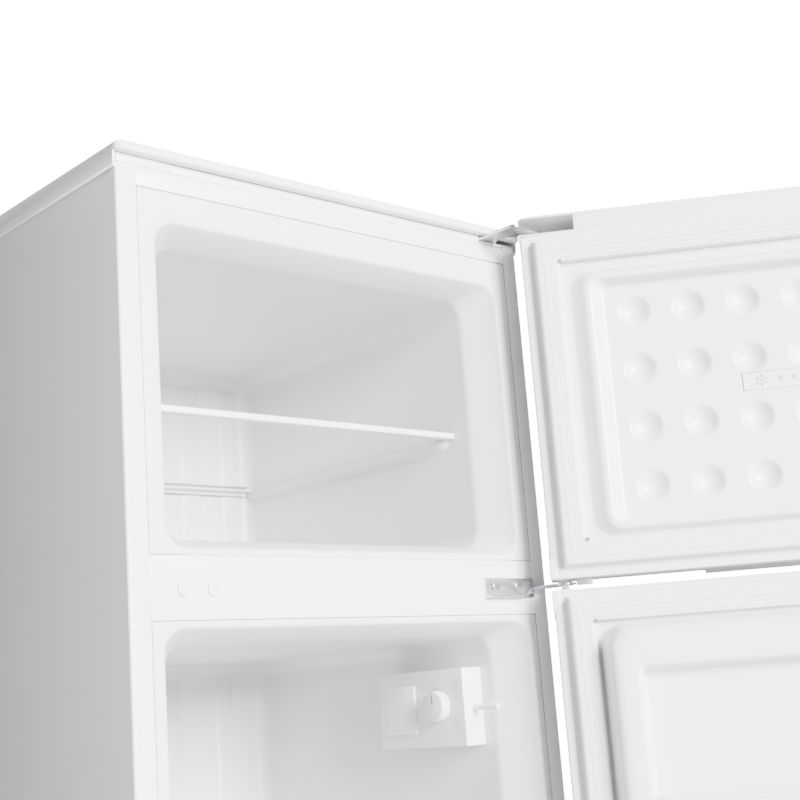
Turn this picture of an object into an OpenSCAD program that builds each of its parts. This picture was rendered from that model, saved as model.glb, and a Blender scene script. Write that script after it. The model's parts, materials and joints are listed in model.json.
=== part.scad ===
// Top freezer refrigerator: two doors on right-hand pins in front of a foamed cabinet.
// X runs to the right across the front, Y from the front face to the back, Z up.
// The origin is on the floor, under the middle of the cabinet's front face.
// Doors are drawn shut and then turned about their common pin line.

/* [Cabinet] */
// Width of the cabinet
cab_w = 545; // [500:1:660]
// Depth of the cabinet without its doors
cab_d = 522; // [430:1:640]
// Height from the floor to the top of the cover
total_h = 1430; // [1190:1:1720]
// Thickness of the painted steel sheet
sheet_t = 0.8; // [0.5:0.1:1.5]
// Width of the sheet that is turned in at the front edge
return_w = 22; // [15:1:30]
// Radius of the bend at the front edge
bend_r = 3; // [1:0.5:6]

/* [Front rails] */
// Height of the top rail
top_rail_h = 20; // [14:1:30]
// Height of the freezer liner's front frame
freezer_frame_h = 352; // [300:1:440]
// Height of the middle rail
mid_rail_h = 59; // [50:1:75]
// Height of the bottom rail's upper edge above the floor
bottom_rail_z = 112; // [95:1:140]
// Height of the cabinet's lower edge above the floor
skirt_z = 28; // [22:1:35]
// Depth of the rails
rail_d = 14; // [10:1:20]

/* [Top cover] */
// Height of the cover's top above the top rail
cover_rise = 20; // [16:1:30]
// Distance that the cover's nose stands out at the front
nose_out = 10; // [6:0.5:11]
// Thickness of the cover's top
cover_t = 2.5; // [2:0.1:4]
// Distance that the cover's side skirts stand proud of the cabinet
skirt_out = 3; // [2:0.1:4]
// Corner radius of the cover in plan
cover_r = 16; // [8:1:25]
// Length of the cover for the spare hinge hole on the left
spare_w = 61; // [50:1:80]

/* [Compartments] */
// Wall of the plastic liners
liner_t = 1.5; // [1:0.1:2.5]
// Depth of the sloping mouth of each compartment
mouth_d = 42; // [30:1:50]
// Frame width beside the freezer mouth
freezer_side = 42.5; // [40:0.5:50]
// Frame height above the freezer mouth
freezer_above = 32; // [25:1:40]
// Frame height below the freezer mouth
freezer_below = 8; // [6:1:20]
// Distance that the freezer mouth narrows on each side
freezer_inset = 20; // [12:1:28]
// Frame width beside the fridge mouth
fridge_side = 36.5; // [34:0.5:50]
// Frame height above and below the fridge mouth
fridge_above = 8.5; // [6:0.5:20]
// Distance that the fridge mouth narrows on each side
fridge_inset = 22; // [12:1:28]
// Distance that both mouths narrow at top and bottom
mouth_rise = 12; // [6:1:16]
// Corner radius of the mouths
mouth_r = 22; // [14:1:30]
// Insulation behind the compartments
back_wall = 48; // [40:1:70]
// Depth of the compressor niche
niche_d = 215; // [190:1:230]
// Height of the compressor niche's roof above the floor
niche_h = 300; // [285:1:330]
// Insulation over and in front of the niche
niche_wall = 42; // [35:1:50]

/* [Doors] */
// Angle at which the doors stand open
open_angle = 130.6; // [0:0.1:130.6]
// Space between the cabinet and the doors, filled by the gaskets
door_gap = 12; // [12:0.5:16]
// Thickness of the doors
door_t = 52; // [48:1:65]
// Distance that the freezer door reaches below the freezer's frame
door_reach = 26.5; // [22:0.5:30]
// Height of the gap between the doors
doors_gap = 12.5; // [12.5:0.5:16]
// Height of the fridge door's lower edge above the floor
fridge_door_z = 66; // [62:1:90]
// Height of the plastic caps on the doors' ends
cap_h = 30.5; // [24:0.5:40]
// Thickness of the caps
cap_t = 2.5; // [2:0.1:4]
// Width of the gaskets' face
gasket_w = 29; // [22:1:32]
// Distance from the door's edge to the gasket
gasket_in = 14.5; // [12:0.5:16]
// Height of the ridge around the freezer door's inner panel
freezer_pad = 12; // [8:0.5:14]
// Depth of the panel inside that ridge
panel_d = 15; // [8:0.5:18]
// Width of the ridge with its slope
ridge_w = 20; // [14:1:26]
// Diameter of the dimples in the panel
dimple_dia = 34; // [24:1:40]
// Depth of the dimples
dimple_h = 8; // [5:0.5:9]
// Height that the fridge door's inner ribs stand in
fridge_pad = 36; // [28:1:40]
// Width of those ribs
dike_w = 29; // [24:1:34]
// Distance of the hinge pins from the door's side
pin_in = 14.2; // [13:0.1:16]
// Distance of the hinge pins from the cabinet's front face
pin_out = 41.2; // [39:0.1:45]
// Radius of the hinge pins
pin_r = 4; // [3:0.5:5]
// Running clearance of shafts in their bores
fit = 0.05; // [0.02:0.01:0.1]
// Space between parts that pass each other
clear = 0.4; // [0.3:0.1:1]

/* [Shelves and drawer] */
// Height from the top rail down to the freezer shelf
freezer_shelf_drop = 216; // [180:1:260]
// Thickness of the glass shelves
glass_t = 4; // [3:0.5:6]
// Distance from the front face to the fridge shelves
shelf_front = 108; // [100:1:130]
// Distance from the front face to the freezer shelf
freezer_shelf_front = 64; // [50:1:90]
// Height of the crisper drawer
drawer_h = 185; // [140:1:190]
// Wall of the drawer and the door bins
bin_t = 2.2; // [1.8:0.1:3]

/* [Door bins] */
// Height of the lowest bin's floor above the bottom of the fridge room
bin_low = 40; // [20:1:60]
// Space from the highest bin's floor up to the top of the fridge room
bin_top = 258; // [180:1:300]
// Depth of the bins
bin_d = 74; // [60:1:78]
// Height of the lowest bin, which holds bottles
bottle_bin_h = 120; // [90:1:140]
// Height of the other bins
bin_h = 80; // [60:1:100]

/* [Machine] */
// Radius of the compressor's shell
comp_r = 72; // [60:1:78]
// Height of the compressor's shell
comp_h = 128; // [100:1:140]
// Radius of the refrigerant tubes
tube_r = 2.4; // [2:0.1:3]
// Radius of the rear transport rollers
roller_r = 16; // [12:1:18]
// Radius of the levelling feet
foot_r = 17; // [12:1:22]

/* [Hidden] */
$fn = 48;
half_w = cab_w / 2;
seam_z = total_h - cover_rise;
cab_top = seam_z + 4;
frame_half = half_w - return_w - 0.1;
freezer_z1 = seam_z - top_rail_h;
freezer_z0 = freezer_z1 - freezer_frame_h;
fridge_z1 = freezer_z0 - mid_rail_h;
fridge_z0 = bottom_rail_z;
tray_z = 62;
nose_h = cover_rise - 9.2;
cavity_back = cab_d - back_wall;
niche_y = cab_d - niche_d;
hump_y = niche_y - niche_wall;
hump_z = niche_h + niche_wall;
foam_half = half_w - sheet_t;

// Mouth and inner box of each compartment: half width, bottom, top
freezer_mouth = [half_w - freezer_side, freezer_z0 + freezer_below, freezer_z1 - freezer_above];
freezer_room = [
    freezer_mouth[0] - freezer_inset,
    freezer_mouth[1] + mouth_rise,
    freezer_mouth[2] - mouth_rise
];
fridge_mouth = [half_w - fridge_side, fridge_z0 + fridge_above, fridge_z1 - fridge_above];
fridge_room = [
    fridge_mouth[0] - fridge_inset,
    fridge_mouth[1] + mouth_rise,
    fridge_mouth[2] - mouth_rise
];

pin_x = half_w - pin_in;
door_in = -door_gap;
door_out = -door_gap - door_t;
freezer_door_z1 = total_h - 2;
freezer_door_z0 = freezer_z0 - door_reach;
fridge_door_z1 = freezer_door_z0 - doors_gap;
skin_half = half_w - 0.6;
cap_half = half_w + 0.2;
notch_x = pin_x - 49.8;
notch_z = freezer_door_z1 - 21.4;
plate_t = 3;
top_plate_z = cab_top;
arm_t = 2.5;
arm_z = fridge_door_z1 + 7;
mid_plate_z = [fridge_door_z1 - 2.2, fridge_door_z1 + 19.4];
mid_screw_z = fridge_door_z1 + 10.4;
mid_screws = [pin_x - 71, pin_x - 36];
mid_plate_x = pin_x - 86;
low_plate_z = fridge_door_z - 12;
low_screws = [pin_x - 70, pin_x - 34];
bush_r = 8;
bush_l = 16;

shelf_z = seam_z - freezer_shelf_drop;
shelf_half = freezer_room[0] - 1;
rack_half = fridge_room[0] - 1.5;
shelf_back = cavity_back - 3;
ledge_w = 9;
cover_z = hump_z + liner_t + 1;
// The two shelves share the height above the crisper's cover evenly
shelf_step = (fridge_room[2] - cover_z) / 3;
shelf_lower_z = cover_z + shelf_step;
shelf_upper_z = cover_z + 2 * shelf_step;
drawer_half = fridge_room[0] - 14;
drawer_z = fridge_room[1] + 4;
drawer_y1 = hump_y - liner_t - 4;
// Freezer door's inner panel, and the field inside its ridge
panel_half = freezer_mouth[0] - 15;
panel_z = [freezer_mouth[1] + 13, freezer_mouth[2] - 6];
dimple_r = (dimple_dia * dimple_dia / 4 + dimple_h * dimple_h) / (2 * dimple_h);
field_half = panel_half - ridge_w;
pad_half = fridge_room[0] + 2;
bin_half = pad_half - dike_w - 6;
bin_y0 = door_in + 16;
bin_step = (fridge_room[2] - bin_top - fridge_room[1] - bin_low) / 2;
bin_zs = [for (i = [0:2]) fridge_room[1] + bin_low + i * bin_step];
box_x0 = fridge_room[0] - 30;
box_y = [58, 200];
box_z = [fridge_room[2] - 118, fridge_room[2] - 33];
knob_y = 96;
knob_z = box_z[1] - 40;
lamp_z = [box_z[0] + 15, box_z[1] - 15];
plunger_z = knob_z - 4;
plunger_x = fridge_room[0] - 14;
plunger_tip = door_in + fridge_pad - 4 + clear;
comp_x = 70;
comp_y = niche_y + niche_d / 2;
plate_z = 38;
comp_z = plate_z + 20;
comp_leg_x = 60;
comp_leg_y = 50;
roller_y = cab_d - 22;
foot_x = half_w - 38;
foot_y = 26;
pocket_d = 7;

// ---- Shared shapes ----

// A box between two values on each axis
module block(x0, x1, y0, y1, z0, z1) {
    translate([x0, y0, z0]) cube([x1 - x0, y1 - y0, z1 - z0]);
}

// A flat shape drawn in X and Z, given depth from y0 to y1
module along_y(y0, y1) {
    translate([0, y1, 0]) rotate([90, 0, 0]) linear_extrude(y1 - y0) children();
}

// A flat shape drawn in Y and Z, given width from x0 to x1
module along_x(x0, x1) {
    translate([x0, 0, 0]) rotate([90, 0, 90]) linear_extrude(x1 - x0) children();
}

// A rectangle with round corners, from its lowest to its highest corner
module rounded(x0, x1, y0, y1, r) {
    translate([x0 + r, y0]) square([x1 - x0 - 2 * r, y1 - y0]);
    translate([x0, y0 + r]) square([x1 - x0, y1 - y0 - 2 * r]);
    for (x = [x0 + r, x1 - r], y = [y0 + r, y1 - r]) translate([x, y]) circle(r);
}

// Points on an arc
function arc(cx, cy, r, a0, a1, n = 6) =
    [for (i = [0:n]) [cx + r * cos(a0 + (a1 - a0) * i / n), cy + r * sin(a0 + (a1 - a0) * i / n)]];

// What hangs on a door, turned open about the pin line
module on_door() {
    translate([pin_x, -pin_out, 0]) rotate([0, 0, open_angle]) translate([-pin_x, pin_out, 0]) children();
}

// A cylinder along Y
module rod_y(x, z, y0, y1, r) {
    translate([x, y1, z]) rotate([90, 0, 0]) cylinder(r = r, h = y1 - y0);
}

// A cylinder along X
module rod_x(y, z, x0, x1, r) {
    translate([x0, y, z]) rotate([0, 90, 0]) cylinder(r = r, h = x1 - x0);
}

// An upright cylinder
module rod_z(x, y, z0, z1, r) {
    translate([x, y, z0]) cylinder(r = r, h = z1 - z0);
}

// The room of a compartment, grown by g: a sloping mouth and a straight box
module room(mouth, inner, g) {
    hull() {
        along_y(-1, 0) rounded(-mouth[0] - g, mouth[0] + g, mouth[1] - g, mouth[2] + g, mouth_r + g);
        along_y(mouth_d - 1, mouth_d)
            rounded(-inner[0] - g, inner[0] + g, inner[1] - g, inner[2] + g, mouth_r + g);
    }
    along_y(mouth_d - 0.5, cavity_back + g)
        rounded(-inner[0] - g, inner[0] + g, inner[1] - g, inner[2] + g, mouth_r + g);
}

// The space that the foam leaves for a liner
module room_envelope(mouth, inner, g) {
    block(-mouth[0] - g, mouth[0] + g, -1, mouth_d + g, mouth[1] - g, mouth[2] + g);
    block(-inner[0] - g, inner[0] + g, 0, cavity_back + g, inner[1] - g, inner[2] + g);
}

// The step at the bottom of the fridge room, over the compressor
module hump(g) {
    block(-half_w, half_w, hump_y - g, cab_d, fridge_z0 - 20, hump_z + g);
}

// A ledge on both side walls that carries a shelf
module ledges(inner, y0, z1) {
    for (s = [-1, 1]) {
        mirror([s < 0 ? 1 : 0, 0, 0])
            block(inner[0] - ledge_w, inner[0] + 0.5, y0, cavity_back, z1 - 12, z1);
    }
}

// A tube that runs to and fro n times along the first axis, with half turns at its ends
module serpentine(n, run, pitch, r) {
    for (i = [0:n - 1]) {
        translate([0, 0, i * pitch]) rotate([0, 90, 0]) cylinder(r = r, h = run);
    }
    for (i = [0:n - 2]) {
        translate([i % 2 == 0 ? run : 0, 0, (i + 0.5) * pitch])
            rotate([90, i % 2 == 0 ? -90 : 90, 0]) half_turn(pitch / 2, r);
    }
}

module half_turn(radius, r) {
    rotate_extrude(angle = 180) translate([radius, 0]) circle(r);
}

// A straight-sided pipe through points, with a ball at each bend
module pipe(points, r) {
    for (i = [0:len(points) - 2]) {
        step = points[i + 1] - points[i];
        len_i = norm(step);
        translate(points[i])
            rotate([0, acos(step[2] / len_i), atan2(step[1], step[0])])
            cylinder(r = r, h = len_i);
    }
    for (i = [1:len(points) - 2]) translate(points[i]) sphere(r);
}

// ---- Cabinet ----

module side_panel() {
    translate([0, 0, skirt_z])
        linear_extrude(seam_z - skirt_z - 0.1)
        polygon(concat(
            [[half_w, cab_d], [foam_half, cab_d]],
            arc(half_w - bend_r, bend_r, bend_r - sheet_t, 0, -90),
            [[half_w - return_w, sheet_t], [half_w - return_w, 0]],
            arc(half_w - bend_r, bend_r, bend_r, -90, 0)
        ));
}

module side_panel_left() {
    color("whitesmoke") mirror([1, 0, 0]) side_panel();
}

module side_panel_right() {
    color("whitesmoke") side_panel();
}

module back_panel() {
    color("gainsboro") block(-foam_half, foam_half, cab_d - sheet_t, cab_d, niche_h, cab_top);
}

module base_tray() {
    t = 2;
    ear = 3;
    color("silver")
        difference() {
            union() {
                along_x(-foam_half, foam_half)
                    polygon([
                        [rail_d + 34, tray_z], [niche_y, tray_z], [niche_y, niche_h],
                        [cab_d - sheet_t, niche_h], [cab_d - sheet_t, niche_h - t],
                        [niche_y + t, niche_h - t], [niche_y + t, tray_z - t],
                        [rail_d + 34, tray_z - t]
                    ]);
                block(-foam_half, foam_half, niche_y, cab_d - 10, plate_z - t, plate_z);
                for (s = [-1, 1]) {
                    mirror([s < 0 ? 1 : 0, 0, 0]) {
                        block(foam_half - t, foam_half, niche_y, cab_d - sheet_t, plate_z - t, niche_h);
                        for (x = [half_w - 62, half_w - 30])
                            block(x, x + ear, roller_y - 9, roller_y + 9, roller_r - 8, plate_z);
                    }
                }
                block(-foam_half, foam_half, niche_y, niche_y + t, plate_z - t, tray_z);
            }
            rod_x(roller_y, roller_r, -half_w, half_w, 3 + fit);
            for (s = [-1, 1])
                block(s * (half_w - 44.5) - 13, s * (half_w - 44.5) + 13, roller_y - 20, cab_d, 0, plate_z + 1);
            for (x = [-comp_leg_x, comp_leg_x], y = [-comp_leg_y, comp_leg_y]) rod_z(comp_x + x, comp_y + y, plate_z - 5, plate_z + 1, 4);
        }
}

module cabinet_foam() {
    g = liner_t + 0.3;
    color("khaki")
        difference() {
            block(-foam_half, foam_half, bend_r + 0.2, cab_d - sheet_t, tray_z, cab_top);
            room_envelope(freezer_mouth, freezer_room, g);
            difference() {
                room_envelope(fridge_mouth, fridge_room, g);
                hump(-0.3);
            }
            block(-half_w, half_w, niche_y - 0.1, cab_d, 0, niche_h + 0.1);
            // Room for the front rails
            block(-half_w, half_w, -1, rail_d + 0.2, freezer_z0 - mid_rail_h, freezer_z0);
            block(-half_w, half_w, -1, rail_d + 0.2, freezer_z1, seam_z);
            block(-half_w, half_w, -1, rail_d + 34.2, 0, fridge_z0);
            // Pockets for the condenser tube and the evaporator
            block(foam_half - pocket_d, half_w, 60, cab_d - 40, 390, freezer_z0 + 260);
            block(-190, 190, cavity_back, cavity_back + 14, freezer_room[1], freezer_room[2]);
        }
}

module freezer_liner() {
    color("white") {
        difference() {
            union() {
                block(-frame_half, frame_half, 0, liner_t, freezer_z0 + 0.1, freezer_z1 - 0.1);
                difference() {
                    room(freezer_mouth, freezer_room, liner_t);
                    block(-half_w, half_w, -3, 0, freezer_z0, freezer_z1);
                }
            }
            room(freezer_mouth, freezer_room, 0);
        }
        ledges(freezer_room, 78, shelf_z - glass_t - clear);
    }
}

module fridge_liner() {
    color("white") {
        difference() {
            union() {
                block(-frame_half, frame_half, 0, liner_t, fridge_z0 + 0.1, fridge_z1 - 0.1);
                difference() {
                    room(fridge_mouth, fridge_room, liner_t);
                    block(-half_w, half_w, -3, 0, fridge_z0, fridge_z1);
                    hump(0);
                }
            }
            difference() {
                room(fridge_mouth, fridge_room, 0);
                hump(liner_t);
            }
        }
        for (z = [shelf_upper_z, shelf_lower_z]) ledges(fridge_room, shelf_front + 14, z - glass_t - clear);
    }
}

// A folded rail, open to the back
module rail(half, d, z0, z1, t) {
    difference() {
        block(-half, half, 0, d, z0, z1);
        block(-half - 1, half + 1, t, d + 1, z0 + t, z1 - t);
    }
}

module top_rail() {
    color("white") rail(frame_half, rail_d, freezer_z1 + 0.1, seam_z - 0.1, 1);
}

module mid_rail() {
    color("white")
        difference() {
            rail(frame_half, rail_d, fridge_z1 + 0.1, freezer_z0 - 0.1, 1.2);
            for (x = mid_screws) rod_y(x, mid_screw_z, -1, 3, 2.6);
            for (x = [34, 67]) rod_y(x - frame_half + 1.6, mid_screw_z - 2, -1, 3, 5.1);
        }
}

module bottom_rail() {
    color("white")
        difference() {
            union() {
                difference() {
                    block(-foam_half + 0.1, foam_half - 0.1, bend_r + 0.2, rail_d + 34, skirt_z, tray_z);
                    block(-half_w, half_w, bend_r + 2.2, rail_d + 32, skirt_z - 1, tray_z - 2);
                }
                rail(frame_half, rail_d, skirt_z, fridge_z0 - 0.1, 1.5);
                for (s = [-1, 1]) rod_z(s * foot_x, foot_y, skirt_z, tray_z - 1, 9);
            }
            for (s = [-1, 1]) rod_z(s * foot_x, foot_y, skirt_z - 1, tray_z - 5, 4 + fit);
            for (x = low_screws) rod_y(x, low_plate_z + 12, -1, 3, 2.6);
        }
}

module front_strip() {
    color("white") block(spare_w - half_w + 0.3, notch_x + 4, 0, bend_r, seam_z, seam_z + 9);
}

module hinge_hole_cover() {
    color("white") {
        block(0.5 - half_w, spare_w - half_w, -0.6, bend_r, seam_z, seam_z + 9);
        block(6 - half_w, spare_w - half_w - 6, bend_r, 24, cab_top, cab_top + 2);
    }
}

module top_cover() {
    color("white")
        difference() {
            union() {
                translate([0, 0, total_h - nose_h])
                    linear_extrude(nose_h)
                    rounded(-half_w - skirt_out, half_w + skirt_out, -nose_out, cab_d, cover_r);
                for (s = [-1, 1]) {
                    mirror([s < 0 ? 1 : 0, 0, 0])
                        block(half_w + 0.2, half_w + skirt_out, cover_r - nose_out, cab_d - cover_r,
                            seam_z - 5.4, total_h - 1);
                }
            }
            block(-half_w + 1, half_w - 1, bend_r + 1, cab_d - 4, seam_z, total_h - cover_t);
        }
}

// Slotted plugs in the holes for a left-hand hinge
module hole_plugs() {
    color("white")
        for (x = [34, 67]) {
            difference() {
                union() {
                    rod_y(x - frame_half + 1.6, mid_screw_z - 2, -2.2, 0, 7.5);
                    rod_y(x - frame_half + 1.6, mid_screw_z - 2, -0.1, 5, 5);
                }
                block(x - frame_half + 0.8, x - frame_half + 2.4, -3, -1, mid_screw_z - 8, mid_screw_z + 4);
            }
        }
}

// ---- Hinges ----

module top_hinge() {
    color("silver")
        difference() {
            union() {
                translate([0, 0, top_plate_z])
                    linear_extrude(plate_t)
                    difference() {
                        union() {
                            translate([pin_x - 45.3, -pin_out - 8]) square([39, pin_out + 68]);
                            translate([pin_x - 39, -pin_out - 14]) square([39, 18]);
                            translate([pin_x - 37.3, -pin_out - 8]) circle(8);
                            translate([pin_x, -pin_out]) circle(13);
                            translate([pin_x - 45.3, 4]) square([52, 56]);
                        }
                        translate([pin_x - 6.3, -14]) circle(18);
                    }
                rod_z(pin_x, -pin_out, notch_z - 14, top_plate_z + 1, pin_r);
            }
            for (x = [-34, -6], y = [14, 46]) rod_z(pin_x + x, y, top_plate_z - 1, top_plate_z + 5, 2.7);
        }
}

module mid_hinge() {
    low = mid_plate_z[0];
    color("silver")
        difference() {
            union() {
                block(mid_plate_x, half_w - return_w - 2, -arm_t, 0, low, mid_plate_z[1]);
                // The foot of the bracket runs low along the rail, then steps up to the pin
                intersection() {
                    along_y(-pin_out - 20, 0)
                        polygon(concat(
                            [[mid_plate_x, low], [pin_x - 30, low]],
                            arc(pin_x - 30, low + 6, 6, -90, -40, 3),
                            [[pin_x - 14, arm_z]],
                            [[pin_x + 20, arm_z], [pin_x + 20, arm_z + arm_t]],
                            [[pin_x - 16, arm_z + arm_t]],
                            arc(pin_x - 30, low + 6, 3.5, -40, -90, 3),
                            [[mid_plate_x, low + arm_t]]
                        ));
                    translate([0, 0, low - 1])
                        linear_extrude(arm_z - low + arm_t + 2) {
                            translate([mid_plate_x, -9]) square([pin_x - mid_plate_x, 9]);
                            polygon([
                                [pin_x - 26, -1], [pin_x - 20, -14], [pin_x - 11, -pin_out + 4],
                                [pin_x - 3, -pin_out - 14], [pin_x + 3, -pin_out - 14],
                                [pin_x + 11, -pin_out + 4], [pin_x + 6, -1]
                            ]);
                            translate([pin_x, -pin_out]) circle(11.5);
                        }
                }
                rod_z(pin_x, -pin_out, fridge_door_z1 - 14, freezer_door_z0 + 14, pin_r);
            }
            for (x = mid_screws) rod_y(x, mid_screw_z, -4, 1, 2.7);
        }
}

module bottom_hinge() {
    color("silver")
        difference() {
            union() {
                block(mid_plate_x, half_w - return_w - 2, -arm_t, 0, low_plate_z - arm_t, low_plate_z + 24);
                translate([0, 0, low_plate_z - arm_t])
                    linear_extrude(arm_t) {
                        polygon([
                            [mid_plate_x, 0], [pin_x - 11, -pin_out], [pin_x + 11, -pin_out], [pin_x + 6, 0]
                        ]);
                        translate([pin_x, -pin_out]) circle(11.5);
                    }
                rod_z(pin_x, -pin_out, low_plate_z - arm_t, fridge_door_z + 14, pin_r);
            }
            for (x = low_screws) rod_y(x, low_plate_z + 12, -4, 1, 2.7);
        }
}

// A pan head screw along Y with its head in front
module screw_y(x, z, head_y) {
    rod_y(x, z, head_y - 2.4, head_y, 4.6);
    rod_y(x, z, head_y - 0.1, head_y + 8, 2.4);
}

module hinge_screws() {
    color("darkgray") {
        for (x = mid_screws) screw_y(x, mid_screw_z, -arm_t);
        for (x = low_screws) screw_y(x, low_plate_z + 12, -arm_t);
        for (x = [-34, -6], y = [14, 46]) {
            rod_z(pin_x + x, y, top_plate_z + plate_t, top_plate_z + plate_t + 2.2, 4.6);
            rod_z(pin_x + x, y, top_plate_z + 0.1, top_plate_z + plate_t + 0.1, 2.5);
        }
    }
}

// ---- Machine ----

module evaporator() {
    y0 = cavity_back + liner_t + 0.6;
    color("lightgray") {
        block(-180, 180, y0, y0 + 1.5, freezer_room[1] + 10, freezer_room[2] - 10);
        translate([-150, y0 + 1.5 + tube_r - 0.4, freezer_room[1] + 36]) serpentine(8, 300, 30, tube_r);
    }
}

module condenser_tube() {
    color("saddlebrown")
        translate([foam_half - tube_r - 1, 100, 420])
        rotate([0, 0, 90])
        serpentine(10, cab_d - 190, 76, tube_r);
}

module compressor() {
    color("dimgray") {
        translate([comp_x, comp_y, comp_z])
            rotate_extrude()
            polygon(concat(
                [[0, 0], [comp_r - 14, 0]],
                arc(comp_r - 14, 14, 14, -90, 0, 5),
                arc(comp_r - 34, comp_h - 34, 34, 0, 80, 7),
                [[0, comp_h]]
            ));
        translate([comp_x, comp_y, comp_z - 3])
            linear_extrude(4)
            difference() {
                rounded(-comp_leg_x - 11, comp_leg_x + 11, -comp_leg_y - 11, comp_leg_y + 11, 10);
                for (x = [-comp_leg_x, comp_leg_x], y = [-comp_leg_y, comp_leg_y]) translate([x, y]) circle(5.1);
            }
    }
}

module compressor_grommets() {
    color("black")
        for (x = [-comp_leg_x, comp_leg_x], y = [-comp_leg_y, comp_leg_y]) {
            rod_z(comp_x + x, comp_y + y, plate_z + 0.1, comp_z - 3, 9);
            rod_z(comp_x + x, comp_y + y, comp_z - 3.1, comp_z + 3, 5);
            rod_z(comp_x + x, comp_y + y, plate_z - 3, plate_z + 0.2, 3.9);
        }
}

module pipework() {
    px = comp_x - comp_r - 40;
    color("peru") {
        pipe([[comp_x - comp_r - 0.5, comp_y, comp_z + 60], [px, comp_y, comp_z + 60],
            [px, comp_y, comp_z + 90]], tube_r);
        rod_z(px, comp_y, comp_z + 90, comp_z + 180, 9);
        pipe([[px, comp_y, comp_z + 180], [px, comp_y, niche_h - 22], [px, comp_y + 60, niche_h - 22],
            [px - 60, comp_y + 60, niche_h - 22]], tube_r);
    }
}

module drip_tray() {
    z0 = comp_z + comp_h + 4;
    color("gainsboro")
        difference() {
            translate([comp_x, comp_y, z0]) linear_extrude(32) rounded(-80, 80, -62, 62, 12);
            translate([comp_x, comp_y, z0 + 2]) linear_extrude(40) rounded(-78, 78, -60, 60, 10);
        }
}

// Terminal box on the compressor, with the inlet for the mains lead
module power_inlet() {
    x0 = comp_x + comp_r + 1;
    color("dimgray")
        difference() {
            block(x0, x0 + 34, comp_y - 28, comp_y + 28, comp_z + 24, comp_z + 92);
            block(x0 + 5, x0 + 29, comp_y + 12, comp_y + 40, comp_z + 46, comp_z + 62);
        }
}

// ---- Thermostat ----

module thermostat_housing() {
    color("white")
        difference() {
            block(box_x0, fridge_room[0] - 0.2, box_y[0], box_y[1], box_z[0], box_z[1]);
            block(box_x0 + 2, fridge_room[0] - 2, box_y[0] + 2, box_y[1] - 2, box_z[0] + 2, box_z[1] - 2);
            rod_x(knob_y, knob_z, box_x0 - 1, box_x0 + 3, 4 + fit);
            block(box_x0 - 1, box_x0 + 3, 136, 184, lamp_z[0], lamp_z[1]);
            rod_y(plunger_x, plunger_z, box_y[0] - 1, box_y[0] + 3, 3.5 + fit);
        }
}

module lamp_lens() {
    color("ghostwhite") block(box_x0 - 3, box_x0 + 1.8, 136.2, 183.8, lamp_z[0] + 0.2, lamp_z[1] - 0.2);
}

module thermostat_knob() {
    color("white") {
        difference() {
            rod_x(knob_y, knob_z, box_x0 - 13, box_x0 - clear, 17);
            block(box_x0 - 14, box_x0 - 11.5, knob_y - 1, knob_y + 1, knob_z + 4, knob_z + 19);
        }
        rod_x(knob_y, knob_z, box_x0 - 5, box_x0 + 10, 4);
    }
}

module switch_plunger() {
    color("gray") {
        rod_y(plunger_x, plunger_z, plunger_tip, box_y[0] + 12, 3.5);
        rod_y(plunger_x, plunger_z, box_y[0] + 7, box_y[0] + 9, 6);
    }
}

// ---- Doors ----

module door_skin(z0, z1, notch) {
    t = sheet_t;
    color("white")
        on_door()
        difference() {
            translate([0, 0, z0 + cap_t + 0.2])
                linear_extrude(z1 - z0 - 2 * cap_t - 0.4)
                difference() {
                    rounded(-skin_half, skin_half, door_out, door_in - 0.2, bend_r);
                    rounded(t - skin_half, skin_half - t, door_out + t, door_in - 0.2 - t, bend_r - t);
                    translate([9 - skin_half, door_in - 5]) square([2 * skin_half - 18, 10]);
                }
            if (notch) block(notch_x - 3, half_w + 1, door_out + t + 0.1, 0, notch_z - 3, z1 + 1);
        }
}

// One end cap, with its closing plate at the low end
module door_cap(z0) {
    difference() {
        union() {
            translate([0, 0, z0])
                linear_extrude(cap_t)
                rounded(-cap_half, cap_half, door_out, door_in, bend_r);
            for (s = [-1, 1]) {
                mirror([s < 0 ? 1 : 0, 0, 0])
                    block(skin_half + 0.1, cap_half, door_out + 3, door_in - 2, z0 + 0.5, z0 + cap_h);
            }
        }
        children();
    }
}

module door_foam(z0, z1) {
    t = sheet_t;
    color("khaki")
        on_door()
        difference() {
            block(-skin_half + t + bend_r, skin_half - t - bend_r, door_out + t, door_in - 2, z0, z1);
            children();
        }
}

module door_gasket(z0, z1) {
    x = half_w - gasket_in;
    w = gasket_w;
    color("white")
        on_door()
        difference() {
            block(-x, x, door_in, -clear, z0, z1);
            block(w - x, x - w, door_in - 1, 1, z0 + w, z1 - w);
        }
}

module bush(z, up) {
    // Flange on the side that faces the hinge plate, barrel in the cap
    difference() {
        union() {
            rod_z(pin_x, -pin_out, up ? z : z - bush_l, up ? z + bush_l : z, 6);
            rod_z(pin_x, -pin_out, up ? z - 2.3 : z, up ? z : z + 2.3, bush_r);
        }
        rod_z(pin_x, -pin_out, z - bush_l - 3, z + bush_l + 3, pin_r + fit);
    }
}

module bush_hole(z0, z1) {
    rod_z(pin_x, -pin_out, z0, z1, 6.1);
}

module freezer_door_skin() {
    door_skin(freezer_door_z0, freezer_door_z1, true);
}

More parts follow.
